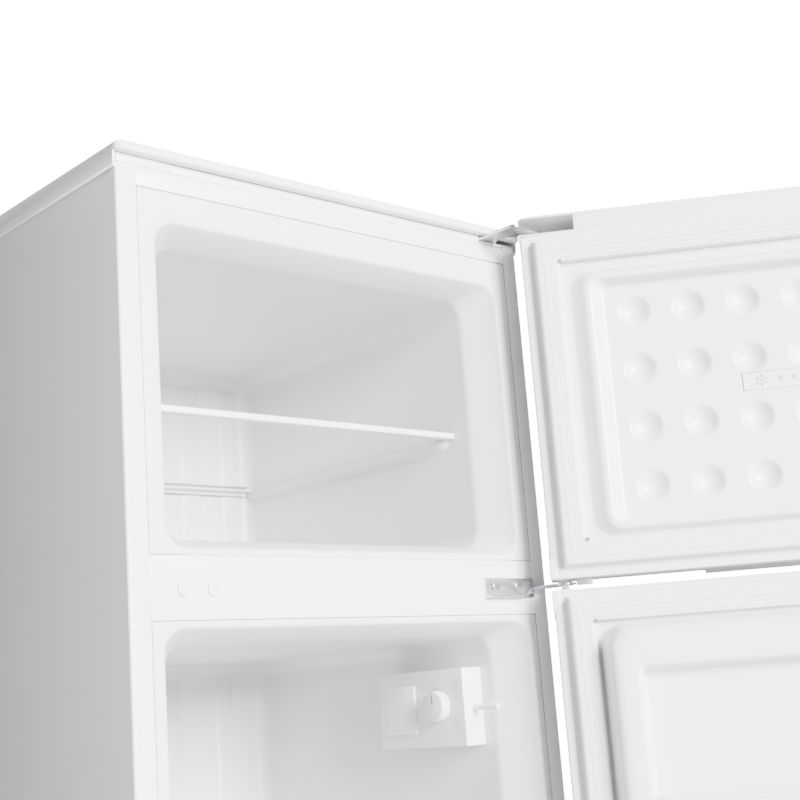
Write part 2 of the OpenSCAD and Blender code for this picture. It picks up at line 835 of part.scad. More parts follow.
module freezer_door_top_cap() {
    z1 = freezer_door_z1;
    color("white")
        on_door()
        difference() {
            union() {
                translate([0, 0, 2 * z1]) mirror([0, 0, 1]) translate([0, 0, z1]) door_cap(0);
                block(notch_x - 2, cap_half, door_out + sheet_t + 0.2, door_in, notch_z - 2, z1);
            }
            // The hinge recess keeps a thin roof, with its corner rounded to clear the cover's nose
            block(notch_x, half_w + 1, door_out + 2.5, 0, notch_z, z1 - cap_t);
            difference() {
                block(pin_x, half_w + 1, -pin_out + 14.8, 0, z1 - cap_t - 1, z1 + 1);
                rod_z(pin_x, -pin_out + 14.8, z1 - cap_t - 2, z1 + 2, 14);
            }
            bush_hole(notch_z - 3, notch_z + 1);
        }
}

module freezer_door_bottom_cap() {
    color("white")
        on_door() {
            door_cap(freezer_door_z0) bush_hole(freezer_door_z0 - 1, freezer_door_z0 + 5);
            // Lip to pull the door by, along the front edge
            block(-cap_half + 6, half_w - 170, door_out, door_out + 7, freezer_door_z0 - 3.5, freezer_door_z0 + 0.1);
        }
}

module freezer_door_foam() {
    z0 = freezer_door_z0;
    z1 = freezer_door_z1;
    door_foam(z0 + cap_t + 0.1, z1 - cap_t - 0.1) {
        block(notch_x - 2.2, half_w, door_out, 0, notch_z - 2.2, z1);
        bush_hole(notch_z - 30, z1);
        bush_hole(z0, z0 + 30);
        block(
            -field_half - 1.2, field_half + 1.2, door_in + freezer_pad - panel_d - liner_t, 0,
            panel_z[0] + ridge_w - 1.2, panel_z[1] - ridge_w + 1.2
        );
        at_dimples() sphere(dimple_r + liner_t + 0.1);
    }
}

module freezer_door_liner() {
    x = half_w - gasket_in - gasket_w;
    in = door_in + freezer_pad;
    half = panel_half;
    z0 = panel_z[0];
    z1 = panel_z[1];
    inner = field_half;
    color("white")
        on_door() {
            difference() {
                union() {
                    block(-x - 26, x + 26, door_in - 1.8, door_in - 0.1, freezer_door_z0 + 6, notch_z - 6);
                    along_y(door_in - 0.2, in) rounded(-half, half, z0, z1, 22);
                }
                along_y(door_in - 3, in - liner_t) rounded(2 - half, half - 2, z0 + 2, z1 - 2, 20);
                along_y(in - 4, in + 1) rounded(-inner, inner, z0 + ridge_w, z1 - ridge_w, 10);
            }
            difference() {
                union() {
                    along_y(in - panel_d - liner_t, in - 0.5)
                        rounded(-inner - 1, inner + 1, z0 + ridge_w - 1, z1 - ridge_w + 1, 11);
                    intersection() {
                        along_y(door_out + 5, in - panel_d - 0.5) square([2 * half_w, 4 * half_w], center = true);
                        at_dimples() sphere(dimple_r + liner_t);
                    }
                }
                along_y(in - panel_d, in)
                    rounded(1 - inner, inner - 1, z0 + ridge_w + 1, z1 - ridge_w - 1, 9);
                at_dimples() sphere(dimple_r);
            }
        }
}

// Dimples pressed into the panel's field, in rows and columns
module at_dimples() {
    step_x = field_half * 0.31;
    step_z = (panel_z[1] - panel_z[0] - 2 * ridge_w) * 0.262;
    for (i = [0:5], j = [0:3])
        translate([
            (i - 2.5) * step_x, door_in + freezer_pad - panel_d - dimple_h + dimple_r,
            (panel_z[0] + panel_z[1]) / 2 + (j - 1.5) * step_z
        ])
            children();
}

module freezer_door_gasket() {
    door_gasket(freezer_z0 - 16, freezer_z1 + 7);
}

module freezer_door_bushes() {
    color("white")
        on_door() {
            bush(notch_z + 0.1, false);
            bush(freezer_door_z0 - 0.1, true);
        }
}

// A steel tab that meets the nose of the middle hinge when the door is wide open
module freezer_door_stop() {
    color("silver") on_door() door_stop(freezer_door_z0);
}

module door_stop(z) {
    block(pin_x - 31, pin_x - 13, -pin_out + 7, -pin_out + 22, z - 1.3, z - 0.1);
    block(pin_x - 31, pin_x - 13, -pin_out + 7, -pin_out + 8.5, z - 7, z - 0.2);
}

module fridge_door_skin() {
    door_skin(fridge_door_z, fridge_door_z1, false);
}

module fridge_door_top_cap() {
    z1 = fridge_door_z1;
    color("white")
        on_door()
        translate([0, 0, z1])
        mirror([0, 0, 1])
        door_cap(0) rod_z(pin_x, -pin_out, -1, 5, 6.1);
}

module fridge_door_bottom_cap() {
    color("white") on_door() door_cap(fridge_door_z) bush_hole(fridge_door_z - 1, fridge_door_z + 5);
}

module fridge_door_foam() {
    z0 = fridge_door_z;
    z1 = fridge_door_z1;
    door_foam(z0 + cap_t + 0.1, z1 - cap_t - 0.1) {
        bush_hole(z1 - 30, z1);
        bush_hole(z0, z0 + 30);
    }
}

module fridge_door_liner() {
    x = half_w - gasket_in - gasket_w;
    in = door_in + fridge_pad;
    z0 = fridge_room[1] + 8;
    z1 = fridge_room[2] - 6;
    color("white")
        on_door()
        difference() {
            union() {
                block(-x - 26, x + 26, door_in - 1.8, door_in - 0.1, fridge_door_z + 6, fridge_door_z1 - 6);
                along_y(door_in - 0.2, in) rounded(-pad_half, pad_half, z0, z1, 24);
            }
            // The ribs on both sides are hollow, and the field between them is set back
            along_y(door_in - 3, door_in + 10) rounded(2 - pad_half, pad_half - 2, z0 + 2, z1 - 2, 22);
            along_y(door_in + 14, in + 1) rounded(dike_w - pad_half, pad_half - dike_w, z0 + 12, z1 - 60, 8);
        }
}

module fridge_door_gasket() {
    door_gasket(fridge_z0 - 16, fridge_z1 + 13);
}

module fridge_door_bushes() {
    color("white")
        on_door() {
            bush(fridge_door_z1 + 0.1, false);
            bush(fridge_door_z - 0.1, true);
        }
}

module fridge_door_stop() {
    color("silver") on_door() door_stop(fridge_door_z);
}

// A door bin: an open box with a low front wall
module bin(z0, h) {
    color("ghostwhite")
        on_door()
        difference() {
            translate([0, 0, z0]) linear_extrude(h) rounded(-bin_half, bin_half, bin_y0, bin_y0 + bin_d, 12);
            translate([0, 0, z0 + bin_t])
                linear_extrude(h)
                rounded(bin_t - bin_half, bin_half - bin_t, bin_y0 + bin_t, bin_y0 + bin_d - bin_t, 10);
        }
}

module bottle_bin() {
    bin(bin_zs[0], bottle_bin_h);
}

module door_bin_middle() {
    bin(bin_zs[1], bin_h);
}

module door_bin_upper() {
    bin(bin_zs[2], bin_h);
}

// ---- Shelves ----

module shelf_glass(half, y0, z) {
    color("lightcyan", 0.5) block(-half, half, y0 + 4, shelf_back - 6, z - glass_t, z);
}

// A trim that holds a glass edge between two lips
module shelf_trim(half, y0, y1, z) {
    color("white")
        difference() {
            along_x(-half, half) rounded(y0, y1, z - glass_t - 2, z + 1.2, 2);
            block(-half - 1, half + 1, y0 + 3.8, y1 + 5, z - glass_t - 0.1, z + 0.1);
        }
}

module freezer_shelf_glass() {
    shelf_glass(shelf_half, freezer_shelf_front, shelf_z);
}

module freezer_shelf_front_trim() {
    shelf_trim(shelf_half, freezer_shelf_front, freezer_shelf_front + 12, shelf_z);
}

module freezer_shelf_rear_trim() {
    y1 = shelf_back - 2;
    color("white")
        difference() {
            along_x(-shelf_half + ledge_w + 1, shelf_half - ledge_w - 1)
                rounded(y1 - 14, y1, shelf_z - glass_t - 7, shelf_z + 1.4, 1.2);
            block(-half_w, half_w, y1 - 20, y1 - 3.9, shelf_z - glass_t - 0.1, shelf_z + 0.1);
            block(-half_w, half_w, y1 - 20, y1 - 3, shelf_z - glass_t - 10, shelf_z - glass_t - 2);
        }
}

module fridge_shelf_upper() {
    shelf_glass(rack_half, shelf_front, shelf_upper_z);
}

module fridge_shelf_upper_trim() {
    shelf_trim(rack_half, shelf_front, shelf_front + 12, shelf_upper_z);
}

module fridge_shelf_lower() {
    shelf_glass(rack_half, shelf_front, shelf_lower_z);
}

module fridge_shelf_lower_trim() {
    shelf_trim(rack_half, shelf_front, shelf_front + 12, shelf_lower_z);
}

module crisper_cover() {
    color("lightcyan", 0.6)
        block(-rack_half, rack_half, shelf_front, shelf_back, cover_z, cover_z + glass_t);
}

module crisper_drawer() {
    y0 = shelf_front + 2;
    color("azure", 0.6)
        difference() {
            translate([0, 0, drawer_z])
                linear_extrude(drawer_h)
                rounded(-drawer_half, drawer_half, y0, drawer_y1, 10);
            translate([0, 0, drawer_z + bin_t])
                linear_extrude(drawer_h)
                rounded(bin_t - drawer_half, drawer_half - bin_t, y0 + bin_t, drawer_y1 - bin_t, 8);
        }
}

// ---- Feet and rollers ----

module foot(s) {
    color("black") {
        rod_z(s * foot_x, foot_y, 0, 10, foot_r);
        rod_z(s * foot_x, foot_y, 9, tray_z - 8, 4);
    }
}

module foot_left() {
    foot(-1);
}

module foot_right() {
    foot(1);
}

// Two rollers fast on one shaft
module rear_rollers() {
    color("dimgray") {
        rod_x(roller_y, roller_r, -half_w + 24, half_w - 24, 3);
        for (s = [-1, 1]) rod_x(roller_y, roller_r, s * (half_w - 44.5) - 11, s * (half_w - 44.5) + 11, roller_r);
    }
}

side_panel_left();
side_panel_right();
back_panel();
base_tray();
cabinet_foam();
freezer_liner();
fridge_liner();
top_rail();
mid_rail();
bottom_rail();
front_strip();
hinge_hole_cover();
top_cover();
hole_plugs();
top_hinge();
mid_hinge();
bottom_hinge();
hinge_screws();
evaporator();
condenser_tube();
compressor();
compressor_grommets();
pipework();
drip_tray();
power_inlet();
thermostat_housing();
lamp_lens();
rear_rollers();
freezer_door_skin();
freezer_door_top_cap();
freezer_door_bottom_cap();
freezer_door_foam();
freezer_door_liner();
freezer_door_gasket();
freezer_door_bushes();
freezer_door_stop();
fridge_door_skin();
fridge_door_top_cap();
fridge_door_bottom_cap();
fridge_door_foam();
fridge_door_liner();
fridge_door_gasket();
fridge_door_bushes();
fridge_door_stop();
freezer_shelf_glass();
freezer_shelf_front_trim();
freezer_shelf_rear_trim();
fridge_shelf_upper();
fridge_shelf_upper_trim();
fridge_shelf_lower();
fridge_shelf_lower_trim();
crisper_cover();
crisper_drawer();
thermostat_knob();
switch_plunger();
bottle_bin();
door_bin_middle();
door_bin_upper();
foot_left();
foot_right();
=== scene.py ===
import json
import math

import bmesh
import bpy
from mathutils import Matrix, Vector

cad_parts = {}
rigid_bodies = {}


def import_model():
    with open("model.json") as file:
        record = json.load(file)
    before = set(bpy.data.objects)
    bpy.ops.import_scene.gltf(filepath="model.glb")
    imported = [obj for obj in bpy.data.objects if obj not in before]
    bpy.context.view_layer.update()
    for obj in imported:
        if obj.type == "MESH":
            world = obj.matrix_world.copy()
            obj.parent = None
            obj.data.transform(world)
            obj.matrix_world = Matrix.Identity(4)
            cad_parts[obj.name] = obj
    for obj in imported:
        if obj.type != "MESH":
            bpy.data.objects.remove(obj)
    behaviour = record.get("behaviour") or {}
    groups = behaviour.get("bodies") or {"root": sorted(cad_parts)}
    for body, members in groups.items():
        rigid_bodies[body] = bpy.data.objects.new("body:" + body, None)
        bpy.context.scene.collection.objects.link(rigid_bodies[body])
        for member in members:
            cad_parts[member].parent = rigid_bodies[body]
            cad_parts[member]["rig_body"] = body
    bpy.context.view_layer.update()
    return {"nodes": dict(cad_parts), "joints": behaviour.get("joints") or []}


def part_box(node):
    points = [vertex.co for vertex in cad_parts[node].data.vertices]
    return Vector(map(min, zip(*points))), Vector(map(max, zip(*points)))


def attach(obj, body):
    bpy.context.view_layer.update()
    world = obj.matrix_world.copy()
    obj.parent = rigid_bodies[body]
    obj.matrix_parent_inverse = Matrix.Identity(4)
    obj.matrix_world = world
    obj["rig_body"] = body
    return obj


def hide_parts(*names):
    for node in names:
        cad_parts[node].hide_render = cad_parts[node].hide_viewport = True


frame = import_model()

# ---- Sizes, in millimetres in the frame of the design ----

MM = 0.001
WELD = 0.001


def reach(node):
    """Lowest and highest corner of a node of the design, in millimetres."""
    low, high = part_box(node)
    return low / MM, high / MM


HALF_W = reach("side_panel_right")[1].x
SEAM_Z = reach("side_panel_right")[1].z + 0.1
CABINET_BACK = reach("back_panel")[1].y
COVER_LOW, COVER_HIGH = reach("top_cover")
FREEZER_LOW, FREEZER_HIGH = reach("freezer_liner")
FRIDGE_LOW, FRIDGE_HIGH = reach("fridge_liner")
CAVITY_BACK = FREEZER_HIGH.y - 1.5
SHEET_WALL = 1.3
MOUTH_DEPTH = 42
MOUTH_RADIUS = 22
BACK_RADIUS = 17
FREEZER_MOUTH = (HALF_W - 42.5, FREEZER_LOW.z + 7.9, FREEZER_HIGH.z - 31.9)
FREEZER_ROOM = (FREEZER_MOUTH[0] - 20, FREEZER_MOUTH[1] + 12, FREEZER_MOUTH[2] - 12)
FRIDGE_MOUTH = (HALF_W - 36.5, FRIDGE_LOW.z + 8.4, FRIDGE_HIGH.z - 8.4)
FRIDGE_ROOM = (FRIDGE_MOUTH[0] - 22, FRIDGE_MOUTH[1] + 12, FRIDGE_MOUTH[2] - 12)
NICHE_Y = CABINET_BACK - 215
HUMP_Y = NICHE_Y - 42
HUMP_Z = 342

HINGE = [j for j in frame["joints"] if j["name"] == "freezer_door_hinge"][0]
PIN_X = HINGE["pos_m"][0] / MM
PIN_Y = HINGE["pos_m"][1] / MM
OPEN_ANGLE = -math.radians(HINGE["range_deg"][0])
DOOR_IN = -12
DOOR_OUT = -64
SKIN_HALF = HALF_W - 0.6
FREEZER_DOOR = (reach("freezer_door_skin")[0].z - 2.7, reach("freezer_door_skin")[1].z + 2.7)
FRIDGE_DOOR = (reach("fridge_door_skin")[0].z - 2.7, reach("fridge_door_skin")[1].z + 2.7)
NOTCH_X = PIN_X - 49.8
NOTCH_Z = FREEZER_DOOR[1] - 21.4
GASKET_OUT = HALF_W - 14.5
GASKET_WIDTH = 29

SHELF_Z = SEAM_Z - 216
BIN_HALF = 181


# ---- Making meshes ----

def link(name, mesh):
    """Puts a mesh into the scene as an object."""
    thing = bpy.data.objects.new(name, mesh)
    bpy.context.scene.collection.objects.link(thing)
    return thing


def smooth(mesh, angle=38):
    """Smooth shading, with creases sharper than the angle kept."""
    mesh.shade_smooth()
    mesh.set_sharp_from_angle(angle=math.radians(angle))


def settled(thing):
    """Turns what the modifiers make into the object's own plain mesh."""
    graph = bpy.context.evaluated_depsgraph_get()
    mesh = bpy.data.meshes.new_from_object(thing.evaluated_get(graph))
    thing.modifiers.clear()
    thing.data = mesh
    return thing


def swung(mesh):
    """Turns a mesh that was drawn on the shut door to the open door."""
    pin = Matrix.Translation((PIN_X * MM, PIN_Y * MM, 0))
    mesh.transform(pin @ Matrix.Rotation(OPEN_ANGLE, 4, "Z") @ pin.inverted())


def poured(form, mesh, door=False):
    """Writes a finished form into its mesh."""
    form.to_mesh(mesh)
    form.free()
    if door:
        swung(mesh)
    return mesh


def dressed(thing, body, finish, replaces=()):
    """Gives a finished piece its material and the body that it rides on."""
    thing.data.materials.clear()
    thing.data.materials.append(finish)
    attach(thing, body)
    if replaces:
        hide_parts(*replaces)
    return thing


class Shape:
    """A mesh in the making, in millimetres."""

    def __init__(self):
        self.points = []
        self.faces = []

    def add(self, points, faces):
        start = len(self.points)
        self.points += [tuple(p) for p in points]
        self.faces += [tuple(start + i for i in face) for face in faces]
        return self

    def loft(self, rings, ends=(True, True)):
        """Joins rings of equal length, each a closed outline."""
        n = len(rings[0])
        last = (len(rings) - 1) * n
        points = [p for ring in rings for p in ring]
        faces = []
        for a in range(0, last, n):
            for i in range(n):
                j = (i + 1) % n
                faces.append((a + i, a + j, a + n + j, a + n + i))
        if ends[0]:
            faces.append(tuple(reversed(range(n))))
        if ends[1]:
            faces.append(tuple(last + i for i in range(n)))
        return self.add(points, faces)

    def net(self, points, columns):
        """A net of points that are given row by row."""
        corners = []
        for a in range(0, len(points) - columns, columns):
            corners += range(a, a + columns - 1)
        return self.add(points, [(i, i + 1, i + 1 + columns, i + columns) for i in corners])

    def lathe(self, profile, centre, axis="Z", steps=48):
        """Turns a profile of (radius, height) points about an axis through the centre."""
        rings = []
        for radius, height in profile:
            ring = []
            for i in range(steps):
                a = 2 * math.pi * i / steps
                u, v = radius * math.cos(a), radius * math.sin(a)
                offset = {"X": (height, u, v), "Y": (v, height, u), "Z": (u, v, height)}[axis]
                ring.append([c + o for c, o in zip(centre, offset)])
            rings.append(ring)
        return self.loft(rings)

    def block(self, low, high, soft=0.5):
        """A box with rounded edges, made as stacked rounded outlines."""
        x0, y0, z0 = low
        x1, y1, z1 = high
        soft = min(soft, (x1 - x0) / 2.1, (y1 - y0) / 2.1, (z1 - z0) / 2.1)
        rings = []
        for z, inset in rounding(z0, z1, soft):
            rings.append(outline(x0 + inset, x1 - inset, y0 + inset, y1 - inset, soft, 4, "z", z))
        return self.loft(rings)

    def add_box(self, low, high):
        """A plain box."""
        (x0, y0, z0), (x1, y1, z1) = low, high
        rings = []
        for z in (z0, z1):
            rings.append([(x0, y0, z), (x1, y0, z), (x1, y1, z), (x0, y1, z)])
        return self.loft(rings)

    def bridge(self, outer, inner):
        """Flat strip between two closed outlines that run round the same middle."""
        middle_x = sum(p[0] for p in inner) / len(inner)
        middle_z = (min(p[2] for p in inner) + max(p[2] for p in inner)) / 2

        def turn(p):
            return math.atan2(p[2] - middle_z, p[0] - middle_x)

        outer = sorted(outer, key=turn)
        inner = sorted(inner, key=turn)
        faces = []
        i = j = 0
        count_o, count_i = len(outer), len(inner)
        while i < count_o or j < count_i:
            next_o = turn(outer[i + 1]) if i + 1 < count_o else math.pi + turn(outer[0]) + math.pi
            next_i = turn(inner[j + 1]) if j + 1 < count_i else math.pi + turn(inner[0]) + math.pi
            a, b = i % count_o, count_o + j % count_i
            if i < count_o and (j >= count_i or next_o <= next_i):
                faces.append((a, (i + 1) % count_o, b))
                i += 1
            else:
                faces.append((a, count_o + (j + 1) % count_i, b))
                j += 1
        return self.add(outer + inner, faces)

    def begun(self, name):
        """A mesh and its form, welded and with its faces turned outwards."""
        mesh = bpy.data.meshes.new(name)
        mesh.from_pydata([[c * MM for c in p] for p in self.points], [], self.faces)
        form = bmesh.new()
        form.from_mesh(mesh)
        bmesh.ops.remove_doubles(form, verts=form.verts, dist=WELD * MM)
        bmesh.ops.recalc_face_normals(form, faces=form.faces)
        return mesh, form

    def mesh(self, name, door=False):
        mesh, form = self.begun(name)
        return poured(form, mesh, door)


def rounding(z0, z1, r, steps=3):
    """Heights and insets of a box's side with rounded ends."""
    quarter = [math.pi / 2 * i / steps for i in range(steps + 1)]
    low = [(z0 + r - r * math.cos(a), r - r * math.sin(a)) for a in quarter]
    high = [(z1 - r + r * math.sin(a), r - r * math.cos(a)) for a in quarter]
    return low + high


def outline(u0, u1, v0, v1, r, steps=8, plane="y", level=0.0):
    """A rectangle with round corners, in the plane across the named axis."""
    r = max(min(r, (u1 - u0) / 2.01, (v1 - v0) / 2.01), 0.05)
    corners = [(u1 - r, v1 - r, 0), (u0 + r, v1 - r, 90), (u0 + r, v0 + r, 180), (u1 - r, v0 + r, 270)]
    ring = []
    for cu, cv, start in corners:
        for i in range(steps + 1):
            a = math.radians(start + 90 * i / steps)
            u, v = cu + r * math.cos(a), cv + r * math.sin(a)
            ring.append({"x": (level, u, v), "y": (u, level, v), "z": (u, v, level)}[plane])
    return ring


def finished(name, shape, body, finish, replaces=(), door=False, angle=38):
    """A solid piece from its shape; one on a door is drawn with the door shut."""
    mesh = shape.mesh(name, door)
    smooth(mesh, angle)
    return dressed(link(name, mesh), body, finish, replaces)


def thickened(name, shape, wall, shown, body, finish, replaces=(), door=False, angle=38):
    """A formed sheet: an open surface that is given a wall behind the side that is shown."""
    mesh, form = shape.begun(name)
    side = Vector(shown)
    facing = max(form.faces, key=lambda face: face.calc_area() * abs(face.normal.dot(side)))
    if facing.normal.dot(side) < 0:
        bmesh.ops.reverse_faces(form, faces=form.faces)
    form.normal_update()
    rim = [edge for edge in form.edges if edge.is_boundary]
    sheet = form.faces[:]
    behind = {corner: form.verts.new(corner.co - corner.normal * wall * MM) for corner in form.verts[:]}
    for face in sheet:
        form.faces.new([behind[corner] for corner in reversed(face.verts)])
    for edge in rim:
        a, b = edge.verts
        form.faces.new([a, b, behind[b], behind[a]])
    bmesh.ops.recalc_face_normals(form, faces=form.faces)
    smooth(poured(form, mesh, door), angle)
    return dressed(link(name, mesh), body, finish, replaces)


def merged(node):
    """A node of the design as one joined mesh with its flat faces made whole."""
    form = bmesh.new()
    form.from_mesh(frame["nodes"][node].data)
    bmesh.ops.remove_doubles(form, verts=form.verts, dist=0.01 * MM)
    flat = math.radians(0.5)
    bmesh.ops.dissolve_limit(form, angle_limit=flat, verts=form.verts, edges=form.edges)
    bmesh.ops.recalc_face_normals(form, faces=form.faces)
    return form


def stand_in(node, form, finish):
    """A piece that is shown in place of a node of the design."""
    mesh = poured(form, bpy.data.meshes.new(node + "_finish"))
    return dressed(link(node + "_finish", mesh), frame["nodes"][node]["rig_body"], finish, (node,))


def slimmed(node, finish, depth):
    """A hidden filling, a little slimmer than designed so that it stays behind its sheets."""
    form = merged(node)
    form.normal_update()
    for corner in form.verts:
        corner.co -= corner.normal * depth * MM
    bmesh.ops.triangulate(form, faces=form.faces[:])
    return stand_in(node, form, finish)


def softened(node, finish, edge=0.5, angle=35):
    """A node of the design with its sharp edges rounded."""
    form = merged(node)
    limit = math.radians(angle)
    sharp = [e for e in form.edges if len(e.link_faces) == 2 and e.calc_face_angle() > limit]
    bmesh.ops.bevel(
        form, geom=sharp, offset=edge * MM, offset_type="OFFSET", segments=2,
        profile=0.5, affect="EDGES", clamp_overlap=True, loop_slide=True,
    )
    bmesh.ops.triangulate(form, faces=[f for f in form.faces if len(f.verts) > 4])
    mesh = stand_in(node, form, finish).data
    for name in ("custom_normal", "UVMap"):
        if name in mesh.attributes:
            mesh.attributes.remove(mesh.attributes[name])
    smooth(mesh)


# ---- What repeats: rows and columns of one pattern piece ----

def array_tree():
    """Copies of the pattern in rows and columns, made real and given one material."""
    tree = bpy.data.node_groups.new("rows_and_columns", "GeometryNodeTree")
    sockets = {
        "Pattern": "Geometry", "Start": "Vector", "Columns": "Int", "Column Step": "Vector",
        "Rows": "Int", "Row Step": "Vector", "Finish": "Material",
    }
    for name, kind in sockets.items():
        tree.interface.new_socket(name, in_out="INPUT", socket_type="NodeSocket" + kind)
    tree.interface.new_socket("Pieces", in_out="OUTPUT", socket_type="NodeSocketGeometry")
    kinds = {
        "given": "NodeGroupInput", "columns": "GeometryNodeMeshLine", "rows": "GeometryNodeMeshLine",
        "lattice": "GeometryNodeInstanceOnPoints", "points": "GeometryNodeRealizeInstances",
        "copies": "GeometryNodeInstanceOnPoints", "real": "GeometryNodeRealizeInstances",
        "painted": "GeometryNodeSetMaterial", "out": "NodeGroupOutput",
    }
    nodes = {name: tree.nodes.new(kind) for name, kind in kinds.items()}
    joins = (
        ("given", "Columns", "columns", "Count"), ("given", "Start", "columns", "Start Location"),
        ("given", "Column Step", "columns", "Offset"), ("given", "Rows", "rows", "Count"),
        ("given", "Row Step", "rows", "Offset"), ("columns", "Mesh", "lattice", "Points"),
        ("rows", "Mesh", "lattice", "Instance"), ("lattice", "Instances", "points", "Geometry"),
        ("points", "Geometry", "copies", "Points"), ("given", "Pattern", "copies", "Instance"),
        ("copies", "Instances", "real", "Geometry"), ("real", "Geometry", "painted", "Geometry"),
        ("given", "Finish", "painted", "Material"), ("painted", "Geometry", "out", "Pieces"),
    )
    for source, a, target, b in joins:
        tree.links.new(nodes[source].outputs[a], nodes[target].inputs[b])
    return tree


ARRAY = array_tree()


def repeated(name, pattern, start, columns, column_step, rows, row_step, body, finish, door=False):
    """One object of copies of the pattern piece, which is drawn round the origin."""
    thing = link(name, pattern.mesh(name))
    modifier = thing.modifiers.new("Array", "NODES")
    modifier.node_group = ARRAY
    values = {
        "Start": [c * MM for c in start], "Columns": columns, "Column Step": [c * MM for c in column_step],
        "Rows": rows, "Row Step": [c * MM for c in row_step], "Finish": finish,
    }
    for socket in ARRAY.interface.items_tree:
        if socket.in_out == "INPUT" and socket.name in values:
            modifier[socket.identifier] = values[socket.name]
    settled(thing)
    if door:
        swung(thing.data)
    smooth(thing.data)
    return dressed(thing, body, finish)


# ---- Materials ----

def shader(name, colour, roughness, metallic=0.0):
    """A new material with its tree and its surface node."""
    material = bpy.data.materials.new(name)
    material.use_nodes = True
    surface = material.node_tree.nodes["Principled BSDF"]
    surface.inputs["Base Color"].default_value = (*colour, 1)
    surface.inputs["Roughness"].default_value = roughness
    surface.inputs["Metallic"].default_value = metallic
    return material, material.node_tree, surface


def place(tree, scale):
    """Object coordinates, stretched by a scale on each axis."""
    coordinates = tree.nodes.new("ShaderNodeTexCoord")
    mapping = tree.nodes.new("ShaderNodeMapping")
    mapping.inputs["Scale"].default_value = scale
    tree.links.new(coordinates.outputs["Object"], mapping.inputs["Vector"])
    return mapping.outputs["Vector"]


def noise(tree, scale, detail=3.0):
    """A cloudy texture, finer where the scale is larger."""
    texture = tree.nodes.new("ShaderNodeTexNoise")
    texture.inputs["Scale"].default_value = 1.0
    texture.inputs["Detail"].default_value = detail
    texture.inputs["Roughness"].default_value = 0.55
    tree.links.new(place(tree, scale), texture.inputs["Vector"])
    return texture.outputs["Fac"]


def ranged(tree, value, low, high):
    """A texture's value brought between two ends."""
    node = tree.nodes.new("ShaderNodeMapRange")
    node.inputs["From Min"].default_value = 0.3
    node.inputs["From Max"].default_value = 0.7
    node.inputs["To Min"].default_value = low
    node.inputs["To Max"].default_value = high
    tree.links.new(value, node.inputs["Value"])
    return node.outputs["Result"]


def tinted(tree, surface, value, colour, other):
    """Lets the colour drift between two near tones."""
    mix = tree.nodes.new("ShaderNodeMix")
    mix.data_type = "RGBA"
    mix.inputs["A"].default_value = (*colour, 1)
    mix.inputs["B"].default_value = (*other, 1)
    tree.links.new(value, mix.inputs["Factor"])
    tree.links.new(mix.outputs["Result"], surface.inputs["Base Color"])


def raised(tree, surface, heights, strength, distance):
    """Bump from one or two height textures."""
    total = heights[0]
    for extra in heights[1:]:
        add = tree.nodes.new("ShaderNodeMath")
        add.operation = "ADD"
        tree.links.new(total, add.inputs[0])
        tree.links.new(extra, add.inputs[1])
        total = add.outputs[0]
    bump = tree.nodes.new("ShaderNodeBump")
    bump.inputs["Strength"].default_value = strength
    bump.inputs["Distance"].default_value = distance * MM
    tree.links.new(total, bump.inputs["Height"])
    tree.links.new(bump.outputs["Normal"], surface.inputs["Normal"])


def clouded(tree, surface, tone, colour, drift, gloss, roughness):
    """Slow changes of colour and of gloss."""
    tinted(tree, surface, ranged(tree, tone, 0, 1), colour, drift)
    tree.links.new(ranged(tree, gloss, *roughness), surface.inputs["Roughness"])


def even(scale):
    """The same scale on all three axes."""
    return (scale, scale, scale)


def coated_sheet(name, colour, drift, roughness, peel=260, strength=0.25, lines=None):
    """Painted sheet steel: a fine orange peel, faint waves and, on a side panel, drawn lines."""
    material, tree, surface = shader(name, colour, roughness[0])
    clouded(tree, surface, noise(tree, even(5.5), 4.0), colour, drift, noise(tree, even(38), 4.0), roughness)
    skin = noise(tree, even(peel), 2.0)
    heights = [skin]
    if lines:
        grain = noise(tree, lines, 2.0)
        heights = [grain, ranged(tree, skin, 0.0, 0.4)]
    raised(tree, surface, heights, strength, 0.05)
    surface.inputs["Coat Weight"].default_value = 0.18
    surface.inputs["Coat Roughness"].default_value = 0.22
    return material


def moulding(name, colour, drift, roughness, grain=900, strength=0.12):
    """Moulded plastic: a fine eroded grain over slow changes of gloss."""
    material, tree, surface = shader(name, colour, roughness[0])
    clouded(tree, surface, noise(tree, even(9)), colour, drift, noise(tree, even(60), 5.0), roughness)
    raised(tree, surface, [noise(tree, even(grain), 2.0)], strength, 0.03)
    return material


def metal(name, colour, drift, roughness, grain, strength=0.2):
    """Bare metal with a rolled or plated grain."""
    material, tree, surface = shader(name, colour, roughness[0], 1.0)
    lines = noise(tree, grain, 4.0)
    clouded(tree, surface, noise(tree, even(16)), colour, drift, lines, roughness)
    raised(tree, surface, [lines], strength, 0.02)
    return material


def clear_sheet(name, colour, alpha, roughness, ior=1.5):
    """See-through glass or plastic, thin enough to be drawn by how much it covers."""
    material, tree, surface = shader(name, colour, roughness)
    surface.inputs["IOR"].default_value = ior
    surface.inputs["Alpha"].default_value = alpha
    haze = noise(tree, even(30))
    tree.links.new(ranged(tree, haze, roughness, roughness + 0.05), surface.inputs["Roughness"])
    raised(tree, surface, [noise(tree, even(24), 1.0)], 0.05, 0.05)
    return material


